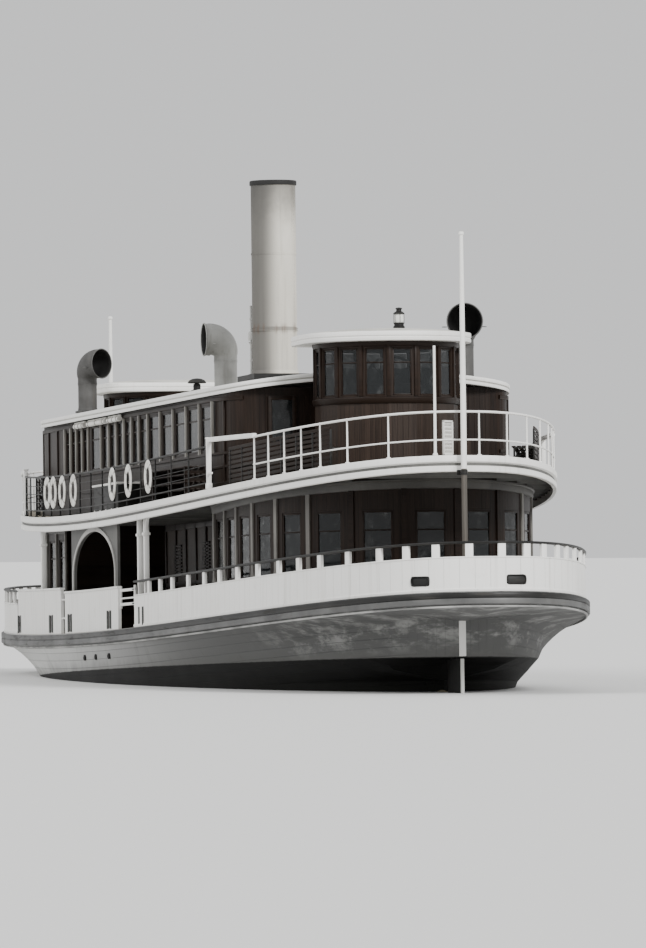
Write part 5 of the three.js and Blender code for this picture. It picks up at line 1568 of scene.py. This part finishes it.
collar = lathe([(radius + out, z) for out, z in collar_steps], funnel["x"], 0.0, 96)
rivet_spots = []
for z, count, out in rivet_rows:
    rivet_spots += [((radius + out) * c, (radius + out) * s, z) for c, s in circle(count)[:-1]]
for turn in (0.9, 3.6):
    for z in spread(foot + 0.2, foot + 4.07, 43):
        if z <= top - 0.2 and abs(z - seam) >= 0.09 and abs(z - hoop) >= 0.06:
            rivet_spots.append((radius * math.cos(turn), radius * math.sin(turn), z))
clear()
bpy.ops.mesh.primitive_ico_sphere_add(subdivisions=1, radius=0.011)
rivets = copies(bpy.context.object, [Matrix.Translation((funnel["x"] + x, y, z)) for x, y, z in rivet_spots])
stack = Paint("funnel_paint", "funnel_paint", Specular_IOR_Level=0.35)
from_axis = stack.x - funnel["x"]
inside = from_axis * from_axis + stack.y * stack.y < (radius - 0.008) ** 2
drift = stack.noise(0.8, 5.0, (1.0, 1.0, 0.4))
runs = stack.noise(6.0, 5.0, (1.0, 1.0, 0.05)).ramp(0.5, 0.78)
soot = (stack.z + stack.noise(3.0, 5.0) * 0.7).ramp(9.9, 11.1)
# painted shade: the starboard side of the funnel is darkened, as if lit from the port side
painted_shade_side = (stack.y + drift * 0.16).ramp(0.16, -0.26)
from_seam = (stack.z - seam).size()
buff = drift.ramp(0.3, 0.75).mix((0.64, 0.61, 0.54), (0.52, 0.495, 0.435)).under(
    (runs, 0.35, (0.22, 0.20, 0.165)),
    (soot, 0.7, (0.06, 0.055, 0.05)),
    (painted_shade_side, 0.88, (0.07, 0.067, 0.062)),
    (from_seam.ramp(0.05, 0.03), 0.6, (0.11, 0.105, 0.095)),
    (from_seam.ramp(0.16, 0.03) * runs, 0.8, (0.11, 0.06, 0.035)),
)
rim_black = drift.mix((0.008, 0.008, 0.008), (0.02, 0.019, 0.018))
outside = (stack.z > top - 0.103).mix(buff, rim_black)
stack.surface(
    stack.noise(3.0, 3.0) + runs * 0.1, 0.003, Base_Color=inside.mix(outside, (0.006, 0.0055, 0.005)),
    Roughness=0.5 + drift * 0.25,
)
dress("funnel_coaming", dark_paint)
finish([plating, collar, *rivets], "funnel_plating", stack, "funnel")

# Whistle: a galvanised steam pipe up the fore side of the funnel with a bell whistle, clamped to the plating.
# The bell stands over a bowl on the pipe.
pipe_x, pipe_y, foot = -0.37, -0.38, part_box("whistle_pipe")[0].z
pipe_profile = [
    (0.0, foot), (0.05, foot), (0.05, foot + 0.03), (0.03, foot + 0.035), (0.03, 7.3),
    (0.036, 7.31), (0.05, 7.34),
    (0.066, 7.35), (0.066, 7.36), (0.02, 7.365), (0.02, 7.39), (0.066, 7.39), (0.069, 7.41), (0.069, 7.54),
    (0.055, 7.575), (0.03, 7.59), (0.026, 7.6), (0.026, 8.1), (0.03, 8.11), (0.03, 8.14), (0.0, 8.149),
]
pipe_parts = [lathe(pipe_profile, pipe_x, pipe_y, 28)]
for z in (6.95, 7.85):
    pipe_parts.append(rod((pipe_x, pipe_y, z), (funnel["x"] - 0.37, -0.3, z), 0.012, 10))
    pipe_parts.append(upright(pipe_x, pipe_y, z - 0.02, z + 0.02, 0.036, 20))
zinc = grey_finish("zinc", "galvanised", (0.36, 0.36, 0.35), (0.52, 0.52, 0.50))
finish(pipe_parts, "whistle", zinc, "whistle_pipe", smooth=35.0)

# Cowl ventilators: sheet-iron trunks with bell mouths that turn on them, grey outside and black within; the
# port and starboard cowls take a near-black grey, which is painted shade.
# Each head is beaten round, with a rolled rim and two grips, and rides with its own body.
def cowl_finish(name, light, dark):
    tin = Paint(name, "galvanised", Specular_IOR_Level=0.35)
    cloud = tin.noise(2.0, 5.0)
    runs = tin.noise(10.0, 4.0, (1.0, 1.0, 0.08)).ramp(0.52, 0.8)
    colour = cloud.ramp(0.3, 0.72).mix(light, dark).under((runs, 0.4, (0.09, 0.075, 0.06)))
    return tin.surface(tin.noise(5.0, 3.0), 0.004, Base_Color=colour, Roughness=0.42 + cloud * 0.25)


def elbow(trunk, mouth, shrink, thick):
    """A bell mouth over the origin, facing +X: a sheet along a quarter bend and back again inside it."""
    path = [(0.0, 0.0, trunk, 0.0), (0.0, 0.1, trunk, 0.0)]
    for tilt in spread(0.0, math.pi / 2, 16):
        swell = trunk + (0.99 * mouth - trunk) * math.sin(tilt) ** 0.85
        path.append((mouth * (1.0 - math.cos(tilt)), 0.16 + mouth * math.sin(tilt), swell, tilt))
    path += [
        (out * mouth, 0.16 + mouth, size * mouth, math.pi / 2)
        for out, size in ((1.18, 0.965), (1.32, 1.0))
    ]
    sheet = [(x, z, size - shrink, tilt) for x, z, size, tilt in path]
    sheet += [(x, z, size - shrink - thick, tilt) for x, z, size, tilt in reversed(path)]
    rows = []
    for c, s in circle(40):
        rows.append([
            (x + size * c * math.cos(tilt), size * s, z - size * c * math.sin(tilt))
            for x, z, size, tilt in sheet + sheet[:1]
        ])
    return skin(rows, False)


pale_cowl = cowl_finish("cowl_grey", (0.31, 0.31, 0.295), (0.22, 0.22, 0.21))
# painted shade: a near-black copy of the cowl grey for the two cowls that stood in shade
shaded_cowl = cowl_finish("cowl_grey_shaded", (0.085, 0.083, 0.08), (0.045, 0.044, 0.042))
cowl_lining = grey_finish("cowl_lining", "galvanised", (0.006, 0.006, 0.006), (0.014, 0.0135, 0.013))
cowls = (
    # name, x, y, mouth radius, trunk radius, facing, paint
    ("midship", -2.3, -0.53, 0.36, 0.25, -92.0, pale_cowl),
    ("port", 7.85, 2.33, 0.375, 0.21, -10.0, shaded_cowl),
    ("starboard", -8.1, -2.43, 0.33, 0.21, 36.0, shaded_cowl),
)
flange_steps = (
    (-0.01, 0.0), (0.07, 0.0), (0.07, 0.04), (0.01, 0.055), (0.004, 0.11), (-0.01, 0.11), (-0.01, 0.0),
)
for name, x, y, mouth, trunk, facing, paint in cowls:
    low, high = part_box(f"cowl_trunk_{name}")
    trunk_profile = [
        (0.0, low.z), (trunk, low.z), (trunk, high.z - 0.03), (trunk + 0.006, high.z - 0.028),
        (trunk + 0.006, high.z - 0.002), (0.0, high.z - 0.002),
    ]
    flange_foot = roof_under(abs(y) - trunk) + roof["depth"] - 0.03
    flange_profile = [(trunk + out, flange_foot + rise) for out, rise in flange_steps]
    turned_parts = [lathe(profile, x, y, 48) for profile in (trunk_profile, flange_profile)]
    finish(turned_parts, f"cowl_trunk_plating_{name}", paint, f"cowl_trunk_{name}", smooth=35.0)
    head = f"cowl_head_{name}"
    place = set_at(x, y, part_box(head)[0].z, math.radians(facing))
    bell = elbow(trunk + 0.004, mouth, 0.0, 0.01)
    grip_x, grip_z = mouth * 0.8, 0.16 + mouth * 0.7
    wall = max(
        v.co.y for v in bell.data.vertices
        if abs(v.co.x - grip_x) < 0.06 and abs(v.co.z - grip_z) < 0.06
    )
    metal = [bell, torus(mouth - 0.004, 0.013, 56, 10, (1.32 * mouth, 0.0, 0.16 + mouth), crosswise)]
    metal.append(torus(trunk + 0.005, 0.009, 48, 8, (0.0, 0.0, 0.05)))
    metal += [torus(0.05, 0.007, 20, 8, (grip_x, side * (wall + 0.048), grip_z)) for side in (-1, 1)]
    finish(metal, f"cowl_bell_{name}", paint, head, head, 40.0, place)
    throat = elbow(trunk + 0.004, mouth, 0.0105, 0.004)
    finish(throat, f"cowl_throat_{name}", cowl_lining, None, head, 60.0, place)

# Mushroom vent: a small dark cast cap on a short neck, let into the roof canvas near the starboard eaves.
# The cap screws down on the neck.
vent_x, vent_y = 3.58, -2.45
vent_profile = [
    (0.0, 0.0), (0.13, 0.0), (0.13, 0.04), (0.08, 0.055), (0.08, 0.17), (0.05, 0.18), (0.05, 0.2),
    (0.19, 0.19),
    (0.2, 0.205), (0.17, 0.25), (0.1, 0.285), (0.03, 0.295), (0.0, 0.295),
]
place = Matrix.Translation((0.0, 0.0, roof_under(vent_y) + roof["depth"] - 0.02))
finish(lathe(vent_profile, vent_x, vent_y, 36), "roof_vent", dark_paint, smooth=35.0, place=place)

# Staffs: tapered pine poles at the ends with a turned truck, white above the upper deck and below it a dark
# grained brown that is painted shade under the deck.
# An iron band with a bracket holds each to the deck edge.
staff = Paint("staff_paint", "white_paint")
cloud = staff.noise(2.0, 4.0, (1.0, 1.0, 0.2))
grain = staff.noise(30.0, 4.0, (1.0, 1.0, 0.03))
# painted shade: the pole below the upper deck is coloured dark brown with a grain
shaded_lower = grain.ramp(0.3, 0.7).mix((0.045, 0.039, 0.032), (0.08, 0.07, 0.057))
lead = cloud.mix((0.72, 0.71, 0.68), (0.82, 0.815, 0.79))
staff.surface(grain, 0.002, Base_Color=(staff.z > 4.02).mix(shaded_lower, lead), Roughness=0.4 + cloud * 0.2)
for end in end_turns:
    low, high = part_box(f"staff_{end}")
    centre, half, top = (low + high) / 2, (high.x - low.x) / 2, high.z
    sign = math.copysign(1.0, centre.x)
    pole_profile = [
        (0.0, low.z), (half, low.z), (half, 5.0), (half * 0.94, 6.2), (half * 0.82, 7.6),
        (half * 0.66, top - 0.12), (half * 0.66, top - 0.08), (half * 0.98, top - 0.06),
        (half, top - 0.045), (half * 0.9, top - 0.015), (half * 0.5, top - 0.001), (0.0, top),
    ]
    band_profile = [(half, 3.9), (half + 0.012, 3.9), (half + 0.012, 4.0), (half, 4.0), (half, 3.9)]
    pole, band = (lathe(profile, centre.x, centre.y, 28) for profile in (pole_profile, band_profile))
    edge = sign * (upper["half"] - 0.01)
    arm = block((edge, -0.05, 3.92), (centre.x - sign * half, 0.05, 3.98), 0.008)
    plate = block((edge, -0.11, 3.9), (edge + sign * 0.02, 0.11, 4.0), 0.004)
    finish(pole, f"staff_pole_{end}", staff, f"staff_{end}", smooth=35.0)
    finish([band, arm, plate], f"staff_band_{end}", dark_paint, smooth=35.0)

# Bitts: cast-iron twin posts with mushroom heads on a bolted bedplate, at each end of the main deck.
# Hawsers have polished their necks.
for end in end_turns:
    low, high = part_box(f"bitts_{end}")
    middle, y, deck, top = (low.x + high.x) / 2, (low.y + high.y) / 2, low.z, high.z
    castings = [block((low.x - 0.02, y - 0.15, deck + 0.001), (high.x + 0.02, y + 0.15, deck + 0.05), 0.012)]
    bitt_profile = [
        (0.0, deck + 0.04), (0.13, deck + 0.045), (0.105, deck + 0.09), (0.092, deck + 0.3),
        (0.095, top - 0.12),
        (0.104, top - 0.09), (0.105, top - 0.04), (0.09, top - 0.01), (0.0, top),
    ]
    for x in (middle - 0.21, middle + 0.21):
        castings.append(lathe(bitt_profile, x, y, 32))
        castings += [upright(x, y + off, deck + 0.04, deck + 0.066, 0.016, 6) for off in (-0.125, 0.125)]
    finish(castings, f"bitts_castings_{end}", dark_paint, f"bitts_{end}", smooth=35.0)

# Screws and rudders: bronze blades gone brown, and iron rudder plates painted as the bottom.
# The outer edge of each rudder and the stem above it carry a white strip.
screw_axis = {"blades_at": 15.17, "radius": 0.848, "root": 0.1, "pitch": 2.6}
boss_profile = [
    (0.0, -0.214), (0.16, -0.214), (0.17, -0.2), (0.17, 0.03), (0.155, 0.1), (0.118, 0.16), (0.06, 0.197),
    (0.0, 0.206),
]


def screw_blade():
    """One twisted blade standing up from the screw's axis: rounded sections wrapped round the hub."""
    rows = []
    for share in along(0.0, 0.9992, 18, 1.7):
        out = screw_axis["root"] + (screw_axis["radius"] - screw_axis["root"]) * share
        half = (0.075 + 0.15 * math.sin(min(share / 0.55, 1.0) * math.pi / 2)) * math.sqrt(1.0 - share ** 6)
        thick = 0.006 + 0.026 * (1.0 - share)
        twist = math.atan(2.0 * math.pi * out / screw_axis["pitch"])
        row = []
        for i, (c, s) in enumerate(circle(24)):
            chord, lift = half * c, thick * s * (1.0 if i < 12 else 0.3)
            shift = chord * math.cos(twist) - lift * math.sin(twist)
            swing = (chord * math.sin(twist) + lift * math.cos(twist)) / out
            row.append((shift, out * math.sin(swing), out * math.cos(swing)))
        rows.append(row)
    return skin(rows)


screw = Paint("screw_bronze", "bronze", Metallic=0.8)
tarnish = screw.noise(4.0, 6.0)
screw.surface(
    tarnish, 0.004, Base_Color=tarnish.ramp(0.35, 0.7).mix((0.28, 0.19, 0.10), (0.09, 0.10, 0.075)),
    Roughness=0.35 + tarnish * 0.35,
)
rudder = Paint("rudder_paint", "dark_paint", Specular_IOR_Level=0.25)
slime = rudder.noise(2.0, 6.0)
strip = (rudder.x.size() > 16.86) * (rudder.z > -1.2)
bottom = slime.mix((0.005, 0.005, 0.005), (0.016, 0.0155, 0.014))
rudder.surface(slime, 0.004, Base_Color=strip.mix(bottom, (0.55, 0.545, 0.52)), Roughness=0.6 + slime * 0.2)
blades = copies(screw_blade(), [Matrix.Rotation(math.pi / 2 * i, 4, "X") for i in range(4)])
whole = join([moved(lathe(boss_profile, count=40), upended), *blades])
moved(whole, Matrix.Translation((screw_axis["blades_at"], 0.0, shaft["height"])))
finish_ends(whole, "screw_{}", screw, "propeller_{}", 40.0, "propeller_{}")
dress("rudder_fore", rudder)
dress("rudder_aft", rudder)
stems = [
    block((sign * (keel["stem"] - 0.01), -0.07, 0.3), (sign * (keel["stem"] + 0.022), 0.07, 1.02), 0.01)
    for sign in (1, -1)
]
finish(stems, "stem_strips", white_paint)

# Benches: long slatted seats on iron ends, set inside the rails on both sides with their backs to the water.
# They are dark varnish, and each end of the upper deck has a pair.
bench = {"inset": 0.42, "back": 0.78, "seat": 0.42, "deep": 0.42}
slat_profiles = [
    eased(-0.06 - off, -0.145 - off, bench["seat"], bench["seat"] + 0.028, 0.006)
    for off in spread(0.0, 0.315, 3)
]
slat_profiles += [eased(0.012, -0.014, z, z + 0.068, 0.006) for z in spread(0.1, 0.765, 7)]
for side, name in ship_sides:
    line = side_run(upper, bench["inset"], 9.95, 14.6, side, 30)
    iron = [
        block((-0.02, -0.02, 0.002), (0.02, 0.02, bench["back"])),
        block((-0.02, bench["deep"] - 0.04, 0.002), (0.02, bench["deep"], bench["seat"])),
        block((-0.02, 0.0, bench["seat"] - 0.04), (0.02, bench["deep"], bench["seat"])),
    ]
    inwards = 0.0 if side < 0 else math.pi
    spots = [at_distance(line, distance) for distance in spread(0.1, 4.8, 7)]
    irons = copies(join(iron), [set_at(x, y, upper_top(x), heading + inwards) for x, y, heading in spots])
    slats = [swept(line, profile, upper_top) for profile in slat_profiles]
    finish_ends(slats, f"bench_slats_{{}}_{name}", trim_timber)
    finish_ends(irons, f"bench_irons_{{}}_{name}", dark_paint)

# Life-jacket lockers and spare benches: stacked slatted seats and a dark chest by each side rail.
# They stand between the lifebuoys, lashed to the stanchions.
chest_x, stack_x = 0.72, 6.5
chests = [set_at(chest_x, side * 3.62, upper_top(chest_x) + 0.001) for side, _ in ship_sides]
stacks = [set_at(stack_x, side * 3.5, upper_top(stack_x) + 0.012) for side, _ in ship_sides]
rims = [block((-1.33, -0.27, 0.555), (1.33, 0.27, 0.6), 0.01)]
rims += [block((x - 0.04, -0.25, 0.0), (x + 0.04, 0.25, 0.055), 0.008) for x in (-1.2, -0.6, 0.0, 0.6, 1.2)]
slatted = []
for z in spread(0.06, 0.525, 3):
    for y in (-0.2, -0.08, 0.04, 0.16):
        slatted.append(block((-1.75, y - 0.045, z + 0.075), (1.75, y + 0.045, z + 0.1)))
    for x in (-1.6, 0.0, 1.6):
        slatted.append(block((x - 0.03, -0.22, z - 0.055), (x + 0.03, 0.22, z + 0.076)))
finish(copies(block((-1.3, -0.24, 0.03), (1.3, 0.24, 0.56), 0.012), chests), "deck_lockers", dark_paint)
finish(copies(join(rims), chests), "locker_edges", white_paint)
finish(copies(join(slatted), stacks), "stacked_seats", trim_timber)

# Overboard discharges: three small cast flanges in each side of the hull, amidships above the boot-top.
# They are painted black.
discharge_z = 0.56
discharge_profile = [
    (0.0, -0.05), (0.062, -0.05), (0.062, 0.008), (0.05, 0.014), (0.036, 0.014), (0.034, 0.0), (0.0, 0.0),
]
places = []
for side, _ in ship_sides:
    for x in (-0.95, 0.23, 1.6):
        reach = max(y for y, z in hull_half(x) if abs(z - discharge_z) < 0.5)
        outboard = Matrix.Rotation(-side * math.pi / 2, 4, "X")
        places.append(Matrix.Translation((x, side * reach, discharge_z)) @ outboard)
finish(copies(lathe(discharge_profile, count=24), places), "discharge_flanges", dark_paint, smooth=35.0)
